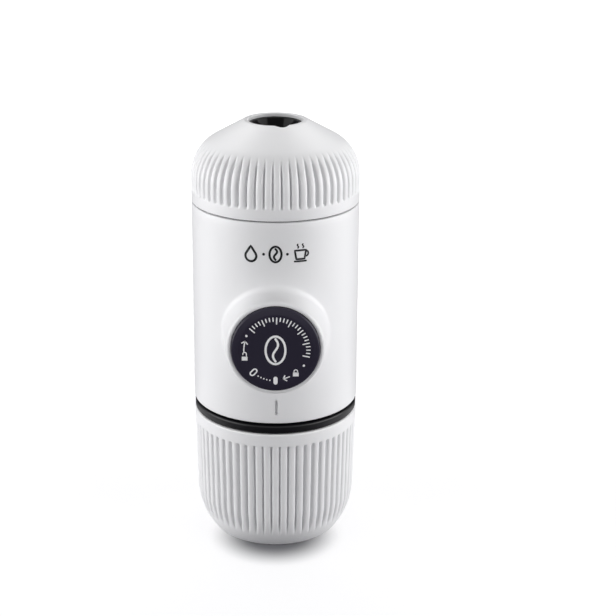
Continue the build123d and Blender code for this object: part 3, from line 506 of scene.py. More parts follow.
# %% Where a ball rolled along the boss's foot touches
SKIN, BORE = 30.1, 27.8
BOSS_REACH, BOSS_RIM, BOSS_BORE = 38.9, 17.1, 15.5
BALL = 2.6
DRAFT = radians(7)
HALVINGS = 60


def roll(angle):
    """The ball's centre and its two touching points, at one angle round the pump's axis."""
    low, high = -(SKIN + BALL), -8.0
    for _ in range(HALVINGS):
        y = (low + high) / 2
        out = BOSS_RIM + (y + BOSS_REACH) * tan(DRAFT) + BALL / cos(DRAFT)
        if (out * cos(angle)) ** 2 + y * y > (SKIN + BALL) ** 2:
            low = y
        else:
            high = y
    centre = Vector((out * cos(angle), y, out * sin(angle)))
    on_boss = centre - BALL * Vector(
        (cos(DRAFT) * cos(angle), -sin(DRAFT), cos(DRAFT) * sin(angle))
    )
    share = SKIN / (SKIN + BALL)
    on_tube = Vector((centre.x * share, centre.y * share, centre.z))
    return centre, on_boss, on_tube


# %% The front panel's edge
# the panel reaches this far round from the front to each side
PANEL = radians(64.8)
PANEL_COLUMNS, PANEL_ROWS, BACK_COLUMNS = 34, 38, 77
SKIN_LOW, SKIN_HIGH = 52.6, 126.4
BORE_LOW, BORE_HIGH = 62.0, 124.0


def panel_edge(low, high):
    """Points (angle round the maker, height) round the front panel's edge."""
    up = [low + (high - low) * k / PANEL_ROWS for k in range(PANEL_ROWS)]
    over = [PANEL - 2 * PANEL * k / PANEL_COLUMNS for k in range(PANEL_COLUMNS)]
    return (
        [(PANEL, h) for h in up]
        + [(a, high) for a in over]
        + [(-PANEL, low + high - h) for h in up]
        + [(-a, low) for a in over]
    )


directions = [atan2(h - PUMP_HEIGHT, a * SKIN) for a, h in panel_edge(SKIN_LOW, SKIN_HIGH)]


# %% Rings from the boss's bore over its rim to the tube
FILLET_ROWS = 8


def steps_towards(start, end, count):
    """Evenly spaced points from the start up to just before the end."""
    return [Vector(start).lerp(Vector(end), k / count) for k in range(count)]


def boss_rings():
    """One list of points for each direction, from deep in the bore out to the tube."""
    spokes = []
    for angle in directions:
        centre, on_boss, on_tube = roll(angle)
        rim = outline(
            (BOSS_BORE, -34.0), (BOSS_BORE, -BOSS_REACH, 0.15), (BOSS_RIM, -BOSS_REACH, 1.25),
            (hypot(on_boss.x, on_boss.z), on_boss.y), step=14,
        )
        spoke = [Vector((r * cos(angle), y, r * sin(angle))) for r, y in rim[:-1]]
        spoke += steps_towards(spoke[-1], on_boss, 3)[1:]
        a, b = on_boss - centre, on_tube - centre
        swing = a.angle(b)
        for k in range(FILLET_ROWS + 1):
            t = k / FILLET_ROWS
            spoke.append(centre + (a * sin((1 - t) * swing) + b * sin(t * swing)) / sin(swing))
        spokes.append(spoke)
    return spokes


# %% Carry the rings out to the panel's edge, and lay faces between them
# more than 1 draws the rings together towards the boss
CROWDING = 1.15


def fan_out(spokes, radius, low, high, count):
    """Carries each spoke on over the tube to the front panel's edge."""
    for spoke, (end_angle, end_height) in zip(spokes, panel_edge(low, high)):
        start = spoke[-1]
        start_angle, start_height = atan2(start.x, -start.y), start.z + PUMP_HEIGHT
        for k in range(1, count + 1):
            t = (k / count) ** CROWDING
            a = start_angle + (end_angle - start_angle) * t
            h = start_height + (end_height - start_height) * t
            spoke.append(Vector((radius * sin(a), -radius * cos(a), h - PUMP_HEIGHT)))


def lay(corners, faces, grid, closed):
    """Adds a grid of points and its faces; closed joins its last column to its first."""
    start, columns, rows = len(corners), len(grid), len(grid[0])
    lift = Vector((0, 0, PUMP_HEIGHT))
    corners += [(Vector(point) + lift) * MM for column in grid for point in column]
    for i in range(columns if closed else columns - 1):
        for j in range(rows - 1):
            a, b = start + i * rows + j, start + (i + 1) % columns * rows + j
            faces.append((a, b, b + 1, a + 1))


# %% A piece from corners and faces
def from_corners(name, corners, faces):
    """A piece made of its corners and faces, left in edit mode with all of it selected."""
    mesh = bpy.data.meshes.new(name)
    mesh.from_pydata(corners, [], faces)
    piece = bpy.data.objects.new(name, mesh)
    bpy.context.collection.objects.link(piece)
    take(piece)
    bpy.ops.object.mode_set(mode="EDIT")
    pick_all()
    return piece


# %% Lay the skin, the bore and the back of the tube
corners, faces = [], []
outer_spokes = boss_rings()
first_ring = [spoke[0] for spoke in outer_spokes]
fan_out(outer_spokes, SKIN, SKIN_LOW, SKIN_HIGH, 10)
lay(corners, faces, outer_spokes, True)

inner_spokes = []
for angle, start in zip(directions, first_ring):
    x = BOSS_BORE * cos(angle)
    inner_spokes.append([start, Vector((x, -sqrt(BORE * BORE - x * x), BOSS_BORE * sin(angle)))])
fan_out(inner_spokes, BORE, BORE_LOW, BORE_HIGH, 8)
lay(corners, faces, inner_spokes, True)

for radius, low, high in ((SKIN, SKIN_LOW, SKIN_HIGH), (BORE, BORE_LOW, BORE_HIGH)):
    heights = [low + (high - low) * j / PANEL_ROWS - PUMP_HEIGHT for j in range(PANEL_ROWS + 1)]
    angles = [PANEL + (2 * pi - 2 * PANEL) * k / BACK_COLUMNS for k in range(BACK_COLUMNS + 1)]
    back = [[(radius * sin(a), -radius * cos(a), h) for h in heights] for a in angles]
    lay(corners, faces, back, False)

body_skin = from_corners("body_skin", corners, faces)
SEAM = 0.01
bpy.ops.mesh.remove_doubles(threshold=SEAM * MM)


# %% Roll the tube's two ends over, down to the bore
def roll_end(radius, height, steps):
    """Extrudes the loop at this radius and height through each (radius, height)."""
    pick(lambda x, y, z: abs(z - height) < SEAM and abs(hypot(x, y) - radius) < 2 * SEAM)
    for next_radius, next_height in steps:
        bpy.ops.mesh.extrude_region_move(
            TRANSFORM_OT_translate={"value": (0, 0, (next_height - height) * MM)}
        )
        share = next_radius / radius
        bpy.ops.transform.resize(value=(share, share, 1), center_override=(0, 0, next_height * MM))
        radius, height = next_radius, next_height


roll_end(
    SKIN, SKIN_HIGH,
    [(30.05, 126.6), (29.9, 126.75), (29.7, 126.8), (28.8, 126.8), (28.8, 124.8), (BORE, 124.8),
     (BORE, BORE_HIGH)],
)
roll_end(
    SKIN, SKIN_LOW,
    [(30.05, 52.4), (29.9, 52.25), (29.7, 52.2), (28.1, 52.2), (BORE, 52.5), (BORE, 60.3),
     (26.4, 60.3), (26.4, 61.3), (BORE, 61.3), (BORE, BORE_LOW)],
)
clean()
print("body skin:", len(body_skin.data.vertices), "corners")


# %% Engrave the index mark under the knob
def rounded_block(name, width, depth, rounding, low, high, x, y):
    """An upright block with rounded upright edges."""
    block = add(
        bpy.ops.mesh.primitive_cube_add, name, (width * MM, depth * MM, (high - low) * MM),
        size=1, location=(x * MM, y * MM, (low + high) / 2 * MM),
    )
    bpy.ops.object.mode_set(mode="EDIT")
    bpy.ops.mesh.select_all(action="DESELECT")
    mesh = bmesh.from_edit_mesh(block.data)
    for edge in mesh.edges:
        a, b = (corner.co for corner in edge.verts)
        edge.select = abs(a.x - b.x) + abs(a.y - b.y) < 1e-6
    mesh.select_flush(True)
    bpy.ops.mesh.bevel(offset=rounding * MM, segments=6)
    bpy.ops.object.mode_set(mode="OBJECT")
    return block


carve(body_skin, rounded_block("index_cutter", 0.9, 2.6, 0.4, 55.6, 61.2, 0.3, -30.4))
seat(body_skin, "body", "white_shell", white_abs, "body_shell")

# %% [markdown]
# ## The water tank
#
# Only the tank's collar shows, a smooth dark ring between cup and body. The bowl below it
# nests in the cup and the neck above it screws into the body, so one outline is turned for
# all three, inside and outside in one go.

# %% The tank
TANK_BEND, TANK_SHOULDER = 20.0, 48.0
bowl_lean = (-0.65, TANK_BEND - TANK_SHOULDER)
bowl_outside = bend((26.75, TANK_BEND), bowl_lean, (19.5, 8.0), 12)
bowl_inside = bend((24.75, TANK_BEND), bowl_lean, (17.5, 10.0), 10)
tank_line = [
    (0, 10.0),
    *reversed(bowl_inside),
    (24.75, TANK_BEND),
    (25.4, TANK_SHOULDER),
    *outline(
        (25.4, 50.0), (25.4, 59.7, 0.4), (27.1, 59.7, 0.4), (27.1, 51.4, 0.25), (29.0, 51.1),
        (29.9, 51.1, 0.7), (29.9, TANK_SHOULDER, 0.5), (28.6, TANK_SHOULDER),
        (27.6, TANK_SHOULDER, 0.3), (26.75, TANK_BEND),
    ),
    *bowl_outside[:-1],
    *outline(bowl_outside[-2], (*bowl_outside[-1], 1.2), (0, 8.0))[1:],
]
tank = turn("tank_bowl", tank_line, 144)
charcoal_abs = moulded("charcoal_ABS", "#08070B", 0.36, 0.04, 0.5, 0.0015, "#0A090D", 0.28)
seat(tank, "tank", "charcoal_gloss", charcoal_abs, "water_tank")

# %% [markdown]
# ## The knob
#
# The knob is turned round the pump's axis. Its face is a dark cap with a soft bevel that
# carries the printed marks. The sleeve behind it slides in the boss and has two lugs, pulled
# out of its inner end with Extrude.

# %% The knob's sleeve
KNOB, GRIP_END = 15.2, -38.4
LUG_REACH, LUG_HALF = 16.6, radians(8.5)
sleeve = turned(
    "knob_grip", 180,
    (13.2, -0.8), (KNOB, -0.8, 0.3), (KNOB, -4.0), (KNOB, GRIP_END, 0.1), (12.9, GRIP_END, 0.1),
    (12.9, -37.4, 0.2), (2.7, -37.4, 0.1), (2.7, -35.2, 0.1), (12.9, -35.2, 0.6),
    (12.9, -0.8, 0.3), (13.2, -0.8), across=True,
)
for side in (1, -1):
    pick(
        lambda x, y, z: -4.05 < y < -1.0 and hypot(x, z - PUMP_HEIGHT) > KNOB - 0.1
        and abs(atan2(x, side * (z - PUMP_HEIGHT))) < LUG_HALF
    )
    bpy.ops.mesh.extrude_region_move()
    reach = LUG_REACH / KNOB
    bpy.ops.transform.resize(value=(reach, 1, reach), center_override=(0, 0, PUMP_HEIGHT * MM))
clean()
satin_charcoal = moulded("satin_charcoal_ABS", "#2B2836", 0.3, 0.03, 0.5, 0.0015, "#2F2C3A", 0.18)
seat(sleeve, "knob", "charcoal_satin", satin_charcoal, "knob_sleeve")

# %% The knob's face
FACE = -40.56
face = turned(
    "knob_face", 144,
    (0, FACE), (12.9, FACE, 1.0), (14.95, -40.15, 0.4), (15.35, -39.8, 0.25),
    (15.35, -38.45, 0.1), (0, -38.45), step=7, across=True,
)
seat(face, "knob", "charcoal_satin", satin_charcoal, "knob_cap")

# %% [markdown]
# ### The print
#
# The marks are pad-printed, so they are thin flat shapes on the face and on the body. They
# say in pictures what turning the knob does: an open and a closed padlock with their arrows,
# and between them dots, a bar and a ring that come to stand over the body's index line. A
# plain scale and a coffee bean fill the rest. Nearly every mark is a stroke of even width
# along a path, so one function draws them. Text objects would be quicker, but the rounded
# ends of a stroke are the look of this print.

# %% Points round a middle
def polar(radius, degrees):
    """The point at a radius and an angle."""
    return radius * cos(radians(degrees)), radius * sin(radians(degrees))


def arc(x, y, radius, start, end, steps=12):
    """Points on a circle, from one angle to another in degrees."""
    dots = [polar(radius, start + (end - start) * k / steps) for k in range(steps + 1)]
    return [(x + u, y + v) for u, v in dots]


# %% A printed stroke
def stroke(path, width, closed=False):
    """Corners and faces of a stroke of even width along a path; open ends are round."""
    points = [Vector(p) for p in path]
    count = len(points)
    marks, faces = [], []
    for i, here in enumerate(points):
        before = points[i - 1] if closed or i else here
        after = points[(i + 1) % count] if closed or i < count - 1 else here
        along = (after - before).normalized() * width / 2
        marks += [here + Vector((-along.y, along.x)), here - Vector((-along.y, along.x))]
    for i in range(count if closed else count - 1):
        j = (i + 1) % count
        faces.append((2 * i, 2 * j, 2 * j + 1, 2 * i + 1))
    if not closed:
        for at, way in ((0, 1), (2 * count - 2, -1)):
            end = points[at // 2]
            arm = marks[at] - end
            faces.append((at, *range(len(marks), len(marks) + 5), at + 1))
            marks += [Vector(swung(end, arm, way * pi * k / 6)) for k in range(1, 6)]
    return marks, faces


def solid_shape(path):
    """Corners and the one face of a filled shape."""
    return [Vector(p) for p in path], [tuple(range(len(path)))]


def moved(shape, x, y):
    """The same shape at another place."""
    marks, faces = shape
    return [Vector((x, y)) + mark for mark in marks], faces


# %% Lay marks on a surface as thin solids
PRINT = 0.035


def print_marks(name, shapes, place):
    """Makes thin solids of flat shapes; place(u, v) gives a point on the surface in mm."""
    marks, faces = [], []
    for shape_marks, shape_faces in shapes:
        start = len(marks)
        marks += [Vector(place(*mark)) * MM for mark in shape_marks]
        faces += [tuple(start + i for i in face) for face in shape_faces]
    piece = from_corners(name, marks, faces)
    bpy.ops.mesh.normals_make_consistent(inside=False)
    bpy.ops.object.mode_set(mode="OBJECT")
    modify(piece, "SOLIDIFY", thickness=2 * PRINT * MM, offset=0)
    bpy.ops.object.mode_set(mode="EDIT")
    clean()
    return piece


def ink(name, colour):
    """Pad-printing ink: a thin film of even colour, a little glossier than the plastic."""
    return moulded(name, colour, 0.3, 0.02, 0.6, 0.0004, colour)


# %% A padlock and a coffee bean, each round its own middle
def padlock(open_by):
    """A padlock; its shackle is lifted by open_by."""
    body = solid_shape([(-1.0, -1.3), (1.0, -1.3), (1.0, 0.15), (-1.0, 0.15)])
    shackle = arc(0, 0.55 + open_by, 0.62, 0, 180, 10)
    end = (-0.62, 0.35 + open_by if open_by else 0.0)
    return [body, stroke([(0.62, 0.0), *shackle, end], 0.34)]


def bean(width, height, line):
    """A coffee bean: an oval and the wavy crease along it."""
    oval = [(width / 2 * cos(a * pi / 24), height / 2 * sin(a * pi / 24)) for a in range(48)]
    crease = [
        (width * 0.13 * sin(t * pi / 8), height * (0.5 - line / height - 0.02) * t / 8)
        for t in range(-8, 9)
    ]
    return [stroke(oval, line, closed=True), stroke(crease, line)]


# %% A water drop and a cup of coffee
def drop(width, height, line):
    """A water drop."""
    r = width / 2
    centre = r - height / 2
    lean = asin(r / (height - r))
    round_part = arc(0, centre, r, 180 - lean * 180 / pi, 360 + lean * 180 / pi, 24)
    tip = (0, height / 2)
    flanks = steps_towards(round_part[-1], tip, 4) + steps_towards(tip, round_part[0], 4)
    return [stroke(round_part[:-1] + flanks, line, closed=True)]


def coffee_cup(width, height, line):
    """A cup from the side, with its handle, steam and saucer."""
    low, top, half = -height * 0.36, height * 0.2, width * 0.34
    side = [(-half, top), (-half * 0.72, low), (half * 0.72, low), (half, top)]
    bowl = []
    for a, b in zip(side, side[1:] + side[:1]):
        bowl += steps_towards(a, b, 6)
    handle = arc(half * 0.9, (low + top) / 2 + 0.35, width * 0.17, -70, 85, 8)
    saucer = stroke([(half * k / 4, -height / 2) for k in range(-4, 5)], line * 0.9)
    steam = [
        stroke([(x + 0.22 * sin(t), top + 0.9 + 0.22 * t) for t in range(7)], line * 0.7)
        for x in (-half * 0.45, half * 0.45)
    ]
    return [stroke(bowl, line, closed=True), stroke(handle, line * 0.9), saucer, *steam]


# %% The knob's print
MARKS, INDEX_RING, TICKS_END, FINE = 10.9, 11.1, 11.9, 0.42
marks = [stroke([(0, -10.5), (0, -12.0)], 1.45)]
for k in range(5):
    marks.append(solid_shape(arc(*polar(11.28, -122 + 22 * k / 4), 0.27, 0, 330, 11)))
for angle in (152, -30):
    marks.append(solid_shape(arc(*polar(11.3, angle), 0.43, 0, 345, 23)))
# the ring that meets the index line when the knob is unlocked
tilt = Vector(polar(1, -133))
across = Vector((-tilt.y, tilt.x))
slot = []
for way in (1, -1):
    for a in range(0, 181, 20):
        along, out = polar(0.72 * way, a)
        slot.append(tilt * (INDEX_RING + 0.65 * way + out) + across * along)
marks.append(stroke(slot, 0.5, closed=True))
for open_by, angle in ((0.55, 193), (0.0, -50)):
    marks += [moved(shape, *polar(MARKS, angle)) for shape in padlock(open_by)]
# turning arrows next to the padlocks
for start, end in ((182, 162), (-64, -76)):
    way = 1 if end > start else -1
    marks.append(stroke(arc(0, 0, MARKS, start, end, 8), FINE))
    for fin in (MARKS - 1, MARKS + 1):
        marks.append(stroke([polar(MARKS, end), polar(fin, end - way * 5)], FINE))
# a plain scale of ticks over the top
for k in range(25):
    angle = 138 - 6.25 * k
    inner = 9.7 if k % 4 == 0 else 10.7
    marks.append(stroke([polar(inner, angle), polar(TICKS_END, angle)], FINE))
marks += bean(6.8, 10.2, 0.78)
white_ink = ink("white_ink", "#FCFCFD")
knob_marks = print_marks("knob_marks", marks, lambda u, v: (u, FACE, PUMP_HEIGHT + v))
seat(knob_marks, "knob", "white_shell", white_ink)

# %% The body's print
PICTOGRAMS = 115.7


def on_body(u, v):
    """A point on the body's skin, u mm round from the front and v mm up from the base."""
    return SKIN * sin(u / SKIN), -SKIN * cos(u / SKIN), v


marks = []
for pictogram, u in (
    (drop(3.9, 5.6, 0.8), -8.6),
    (bean(4.1, 5.6, 0.75), 0.0),
    (coffee_cup(6.0, 5.6, 0.7), 8.7),
):
    marks += [moved(shape, u, PICTOGRAMS) for shape in pictogram]
for u in (-4.1, 4.1):
    marks.append(solid_shape(arc(u, PICTOGRAMS, 0.5, 0, 330, 11)))
black_ink = ink("black_ink", "#0F0F13")
seat(print_marks("body_marks", marks, on_body), "body", "charcoal_gloss", black_ink)

# %% [markdown]
# ## The spout insert
#
# A black insert closes the mouth of the outlet head. It is a deep glossy bowl, turned like
# the rest, with three jets in its floor and a tab that fills the notch in the lip.

# %% Join pieces
def join(piece, *others):
    """Joins other objects into the piece."""
    take(piece)
    for other in others:
        other.select_set(True)
    bpy.ops.object.join()


# %% The spout insert
insert = turned(
    "spout_insert", 96,
    (0, 149.7), (6.3, 149.7, 0.8), (7.2, 151.0, 0.3), (8.15, 154.7, 0.25), (9.45, 154.9, 0.3),
    (9.5, 153.15, 0.1), (11.6, 153.15, 0.2), (11.6, 148.4, 0.3), (0, 148.4),
)
for angle in (90, 210, 330):
    carve(insert, upright_round("jet_cutter", 0.8, 148, 151, *polar(2.6, angle), 24))
tab = upright_round("tab", 2.62, 153.85, 154.95, *NOTCH, 40)
carve(tab, upright_round("tab_cutter", 8.3, 153, 156, 0, 0, 96))
join(insert, tab)
deep_black = moulded("deep_black_ABS", "#040406", 0.12, 0.03, 0.9, 0.0005, "#050507", 0.07)
seat(insert, "outlet_head", "black_plastic", deep_black, "nozzle")

# %% [markdown]
# ## Inside the outlet head
#
# Unscrew the head and the brewing group comes to light: a black glass-filled nylon well, a
# steel basket with a scoop in it, and under the dome the part that presses the basket down,
# called the portafilter. They are moulded or drawn round one axis, so each is turned from
# its section. Their screw threads are real ridges: a small section carried round and up by a
# Screw modifier. A thread drawn as a bump would vanish from the side, where it shows most.

# %% Black nylon and grey nylon
black_nylon = moulded("black_nylon_glass_filled", "#17171A", 0.46, 0.06, 0.5, 0.006, "#1D1D21", 0.3)
grey_nylon = moulded("grey_nylon_glass_filled", "#8E9195", 0.5, 0.06, 0.6, 0.006, "#979A9E", 0.4)


# %% A screw thread
PITCH, THREAD_TURNS, RIDGE = 2.6, 2, 1.3


def wind(piece, climb, turns, steps, sides):
    """Carries a section of so many sides round and up, climb mm a turn, and closes its ends."""
    modify(
        piece, "SCREW", angle=2 * pi, screw_offset=climb * MM, iterations=turns, steps=steps,
        render_steps=steps,
    )
    bpy.ops.object.mode_set(mode="EDIT")
    pick_all()
    bpy.ops.mesh.fill_holes(sides=sides)
    clean()


def thread(name, root, crest, low):
    """A ridge from the root's radius to the crest's, from a low height up, all in mm."""
    ridge = add(
        bpy.ops.mesh.primitive_plane_add, name, (abs(crest - root) * MM, RIDGE * MM, 1),
        size=1, location=((root + crest) / 2 * MM, 0, low * MM), rotation=(pi / 2, 0, 0),
    )
    bpy.ops.object.mode_set(mode="EDIT")
    pick(lambda x, y, z: abs(x - crest) < 0.01)
    bpy.ops.transform.resize(value=(1, 1, 0.4), center_override=(crest * MM, 0, low * MM))
    pick_all()
    bpy.ops.mesh.delete(type="ONLY_FACE")
    bpy.ops.object.mode_set(mode="OBJECT")
    wind(ridge, PITCH, THREAD_TURNS, 72, 4)
    return ridge


# %% Cylinders at several places
def rounds(name, places, radius, low, high, steps=32):
    """Upright cylinders at several places, as one object."""
    first, *rest = [upright_round(name, radius, low, high, x, y, steps) for x, y in places]
    if rest:
        join(first, *rest)
    return first


# %% The brewing well
SCREWS = [(x, y) for x in (-24.05, 24.05) for y in (-6.44, 6.44)]
well = turned(
    "brewing_well", 120,
    (0, 118.5), (18.4, 118.5, 0.1), (18.4, 119.9, 0.1), (19.8, 119.9, 0.1), (19.8, 134.7, 0.35),
    (21.9, 134.7, 0.35), (21.9, 126.3, 0.3), (28.7, 126.3, 0.25), (28.7, 124.8, 0.15),
    (27.7, 124.8, 0.1), (27.7, 122.3, 0.3), (22.0, 122.3, 0.4), (22.0, 116.3, 0.6), (0, 116.3),
)
for places, radius, low, high in (
    (SCREWS, 2.2, 124.7, 127),
    (SCREWS, 1.35, 122, 125),
    ([(0, 17.6)], 1.4, 116, 119),
):
    carve(well, rounds("well_cutter", places, radius, low, high))
socket = rounds("pipe_socket", [(0, 19.0)], 4.4, 113.9, 116.4)
carve(socket, rounds("socket_cutter", [(0, 19.0)], 2.7, 113.5, 117))
join(well, socket, thread("well_thread", 21.8, 22.35, 128.6))
seat(well, "body", "black_plastic", black_nylon, "group_head")

# %% The portafilter
holder = turned(
    "portafilter_body", 120,
    (23.2, 127.3, 0.3), (27.8, 127.3, 0.3), (27.8, 129.3, 0.4), (25.2, 129.3, 0.6),
    (25.2, 142.1, 0.8), (7.5, 142.1, 0.6), (7.5, 148.4, 0.3), (4.2, 148.4, 0.3), (4.2, 141.7, 0.1),
    (1.6, 141.7, 0.2), (1.6, 140.1, 0.2), (18.2, 140.1, 0.1), (18.2, 138.9, 0.1),
    (19.2, 138.9, 0.1), (19.2, 138.3, 0.1), (23.2, 138.3, 0.3), closed=True,
)
join(holder, thread("holder_thread", 23.3, 22.75, 129.9))
seat(holder, "outlet_head", "black_plastic", black_nylon, "portafilter")

# %% [markdown]
# ### Steel: drawn sheet, turned screws and wire
#
# The basket and the screens are stainless sheet. Drawing it through a ring leaves fine
# upright lines on the wall, about a tenth of a millimetre apart, which stretch highlights
# upwards. Screws and wire are smoother. All three are one recipe with another colour,
# roughness and grain. Metals keep the shader's own index of refraction.

# %% Metals
DULLER = 0.86


def metal(name, colour, rough, line, length, depth):
    """A bare metal whose fine lines are line mm apart and length mm long, upright."""
    finish = new_material(name, {"Metallic": 1.0})
    tree = finish[1]
    place = add_node(tree, "TexCoord").outputs["Object"]
    stretched = add_node(
        tree, "Mapping", {"3": (1 / (line * MM), 1 / (line * MM), 1 / (length * MM))}, Vector=place
    )
    lines = add_node(
        tree, "TexNoise", {"Scale": 1.0, "Detail": 2.0}, Vector=stretched.outputs["Vector"]
    )
    bright = paint(colour)
    dull = tuple(c * DULLER for c in bright[:3]) + (1,)
    return textured(finish, lines, lines, (dull, bright), rough, 0.07, 0.6, depth)


# the lines are drawn three times as coarse as real ones, which would be finer than the picture
drawn_steel = metal("stainless_steel_drawn", "#CFCFCC", 0.27, 0.3, 9.0, 0.003)
screw_steel = metal("nickel_plated_steel_turned", "#C4C2BD", 0.24, 0.4, 0.4, 0.002)
spring_wire = metal("stainless_steel_wire", "#B9B9B7", 0.22, 0.3, 0.3, 0.001)


# %% Holes in a sheet
def perforate(sheet, low, high, rings, spacing, radius):
    """Punches rings of holes, six more in each ring, as all such screens have them."""
    places = [(0, 0)]
    for ring in range(1, rings + 1):
        places += [polar(ring * spacing, 60 * k / ring) for k in range(6 * ring)]
    carve(sheet, rounds("punch", places, radius, low, high, 12))
    print(sheet.name, "has", len(places), "holes")


# %% The basket and the two screens
HOLE_RINGS, HOLE_SPACING, SHEET = 5, 3.2, 0.6
basket = turned(
    "coffee_basket", 120,
    (0, 121.4), (18.7, 121.4, 0.6), (18.7, 136.7, 0.7), (21.9, 136.7, 0.35), (21.9, 135.9, 0.35),
    (19.2, 135.9, 0.4), (19.2, 120.9, 1.1), (0, 120.9),
)
perforate(basket, 120, 122, HOLE_RINGS, HOLE_SPACING, 0.45)
seat(basket, "basket", "steel", drawn_steel, "filter_basket")

for name, node, body, radius, low in (
    ("water_spreader", "shower_screen", "body", 19.7, 119.9),
    ("coffee_screen", "outlet_screen", "outlet_head", 19.1, 138.3),
):
    sheet = turned(
        name, 96, (0, low + SHEET), (radius, low + SHEET, 0.2), (radius, low, 0.2), (0, low)
    )
    perforate(sheet, low - 0.5, low + 1, HOLE_RINGS, HOLE_SPACING, 0.5)
    seat(sheet, body, "steel", drawn_steel, node)

# %% [markdown]
# ### The scoop and the silicone rings
#
# The scoop travels upside up inside the basket. Two round notches in its rim give the
# fingers a hold, and a low ring inside marks the full dose. The rings that seal are silicone,
# matt and a little waxy, with every edge rounded, because liquid rubber can't fill a sharp
# corner of a mould.

# %% The scoop
SCOOP_RIM = 135.8
ladle = turned(
    "dose_scoop", 120,
    (0, 123.1), (17.2, 123.1, 1.0), (17.2, 128.6), (16.95, 128.8), (16.95, 129.2), (17.2, 129.4),
    (17.2, SCOOP_RIM, 0.5), (18.4, SCOOP_RIM, 0.5), (18.4, 121.5, 1.3), (0, 121.5),
)
finger_cutter = add(
    bpy.ops.mesh.primitive_cylinder_add, "finger_cutter", vertices=48, radius=5 * MM,
    depth=60 * MM, location=(0, 0, SCOOP_RIM * MM), rotation=(pi / 2, 0, 0),
)
carve(ladle, finger_cutter)
seat(ladle, "scoop", "black_plastic", black_nylon, "scoop")

# %% The silicone rings
silicone = moulded("grey_silicone", "#A9A9A3", 0.5, 0.05, 0.7, 0.004, "#B1B1AB", 0.35)
for name, node, body, inner, outer, low, high, rounding in (
    ("well_ring", "group_gasket", "body", 20.0, 21.8, 134.7, 135.9, 0.45),
    ("holder_ring", "portafilter_seal", "outlet_head", 19.9, 21.9, 136.7, 138.3, 0.6),
    ("tank_ring", "tank_seal", "tank_gasket", 24.7, 26.1, 59.7, 62.3, 0.5),
):
    ring = turned(
        name, 120, (inner, low, rounding), (outer, low, rounding), (outer, high, rounding),
        (inner, high, rounding), closed=True, step=30,
    )
    seat(ring, body, "silicone", silicone, node)

# %% [markdown]
# ### Screws and the tank's thread
#
# Small screws with cross recesses hold the group and the base plate. One is turned, its
# recess is cut, and it is copied to its places. A bevelled cylinder would be quicker, but it
# would lack the neck under the head and the point. The tank's thread is wound like the others.

# %% Screws
def screws(name, section, recess_low, recess_high, places):
    """Turns one screw on the axis, cuts its recess, and sets a copy at each place."""
    first = turned(name, 32, *section, step=20)
    for width, depth in ((0.55, 2.3), (2.3, 0.55)):
        carve(first, rounded_block("recess", width, depth, 0.1, recess_low, recess_high, 0, 0))
    copies = []
    for x, y in places:
        take(first)
        bpy.ops.object.duplicate()
        copy = bpy.context.object
        copy.location = (x * MM, y * MM, 0)
        bpy.ops.object.transform_apply()
        copies.append(copy)
    bpy.data.objects.remove(first, do_unlink=True)
    join(*copies)
    return named(name)


for name, node, recess_low, recess_high, places, section in (
    ("group_screw_set", "group_screws", 125.2, 127, SCREWS,
     [(0, 126.2), (2.0, 126.2, 0.5), (2.0, 124.7, 0.1), (1.25, 124.7, 0.1), (1.25, 113.2, 0.2),
      (0.7, 112.7, 0.1), (0, 112.7)]),
    ("base_screw_set", "base_screws", 60.5, 62.3, [(12.0, 3.25), (-12.0, 3.25), (0.0, -12.0)],
     [(0, 61.3), (2.0, 61.3, 0.45), (2.0, 62.8, 0.1), (1.25, 62.8, 0.1), (1.25, 67.3, 0.2),
      (0.7, 67.8, 0.1), (0, 67.8)]),
):
    screw_set = screws(name, section, recess_low, recess_high, places)
    seat(screw_set, "body", "screw_steel", screw_steel, node)

# %% The tank's thread
seat(thread("tank_thread", 26.9, 27.5, 53.6), "tank", "charcoal_gloss", charcoal_abs)

# %% [markdown]
# ### The two springs
#
# A compression spring is a wire wound at an even pitch, with a closed coil at each end so
# that it stands flat. The Screw modifier winds the wire's round section, and a ring at each
# end is the closed coil. A spring belongs to two bodies at once: its one end stays with the
# seat and the other goes with what it pushes. Here each spring is only fixed where it stands
# at rest, and its wire does not open and close as the joint moves.

# %% Springs
WIRE_SIDES, COIL_STEPS = 12, 40


def spring(name, radius, wire, low, high, turns):
    """A compression spring round the upright axis; wire is the wire's own radius."""
    coil = add(
        bpy.ops.mesh.primitive_circle_add, name, vertices=WIRE_SIDES, radius=wire * MM,
        location=(radius * MM, 0, (low + wire) * MM), rotation=(pi / 2, 0, 0),
    )
    wind(coil, (high - low - 2 * wire) / turns, turns, COIL_STEPS, WIRE_SIDES)
    for height in (low + wire, high - wire):
        closed = add(
            bpy.ops.mesh.primitive_torus_add, "closed_coil", major_radius=radius * MM,
            minor_radius=wire * MM, major_segments=COIL_STEPS, minor_segments=WIRE_SIDES,
            location=(0, 0, height * MM),
        )
        join(coil, closed)
    return coil


push_out = spring("knob_spring", 11.7, 0.65, -0.2, 35.1, 7)
# it is wound upright and then laid along the pump
push_out.rotation_euler.x, push_out.location.z = pi / 2, PUMP_HEIGHT * MM
bpy.ops.object.transform_apply()
between = ("body", "plunger", (0, -1 * MM, 0), (0, -34 * MM, 0))
seat(push_out, between, "spring_steel", spring_wire, "return_spring")
hold_shut = spring("poppet_spring", 2.4, 0.35, 143.5, 148.3, 4)
between = ("outlet_valve", "outlet_head", (0, 0, 144 * MM), (0, 0, 147.8 * MM))
seat(hold_shut, between, "spring_steel", spring_wire, "valve_spring")

# %% [markdown]
# ### Finishes for the solids that stay
#
# The pump, its valves and the plates that carry them are hidden in the maker, and their
# solids are already what they should be. They keep their shapes and get the finish of what
# they are made of.

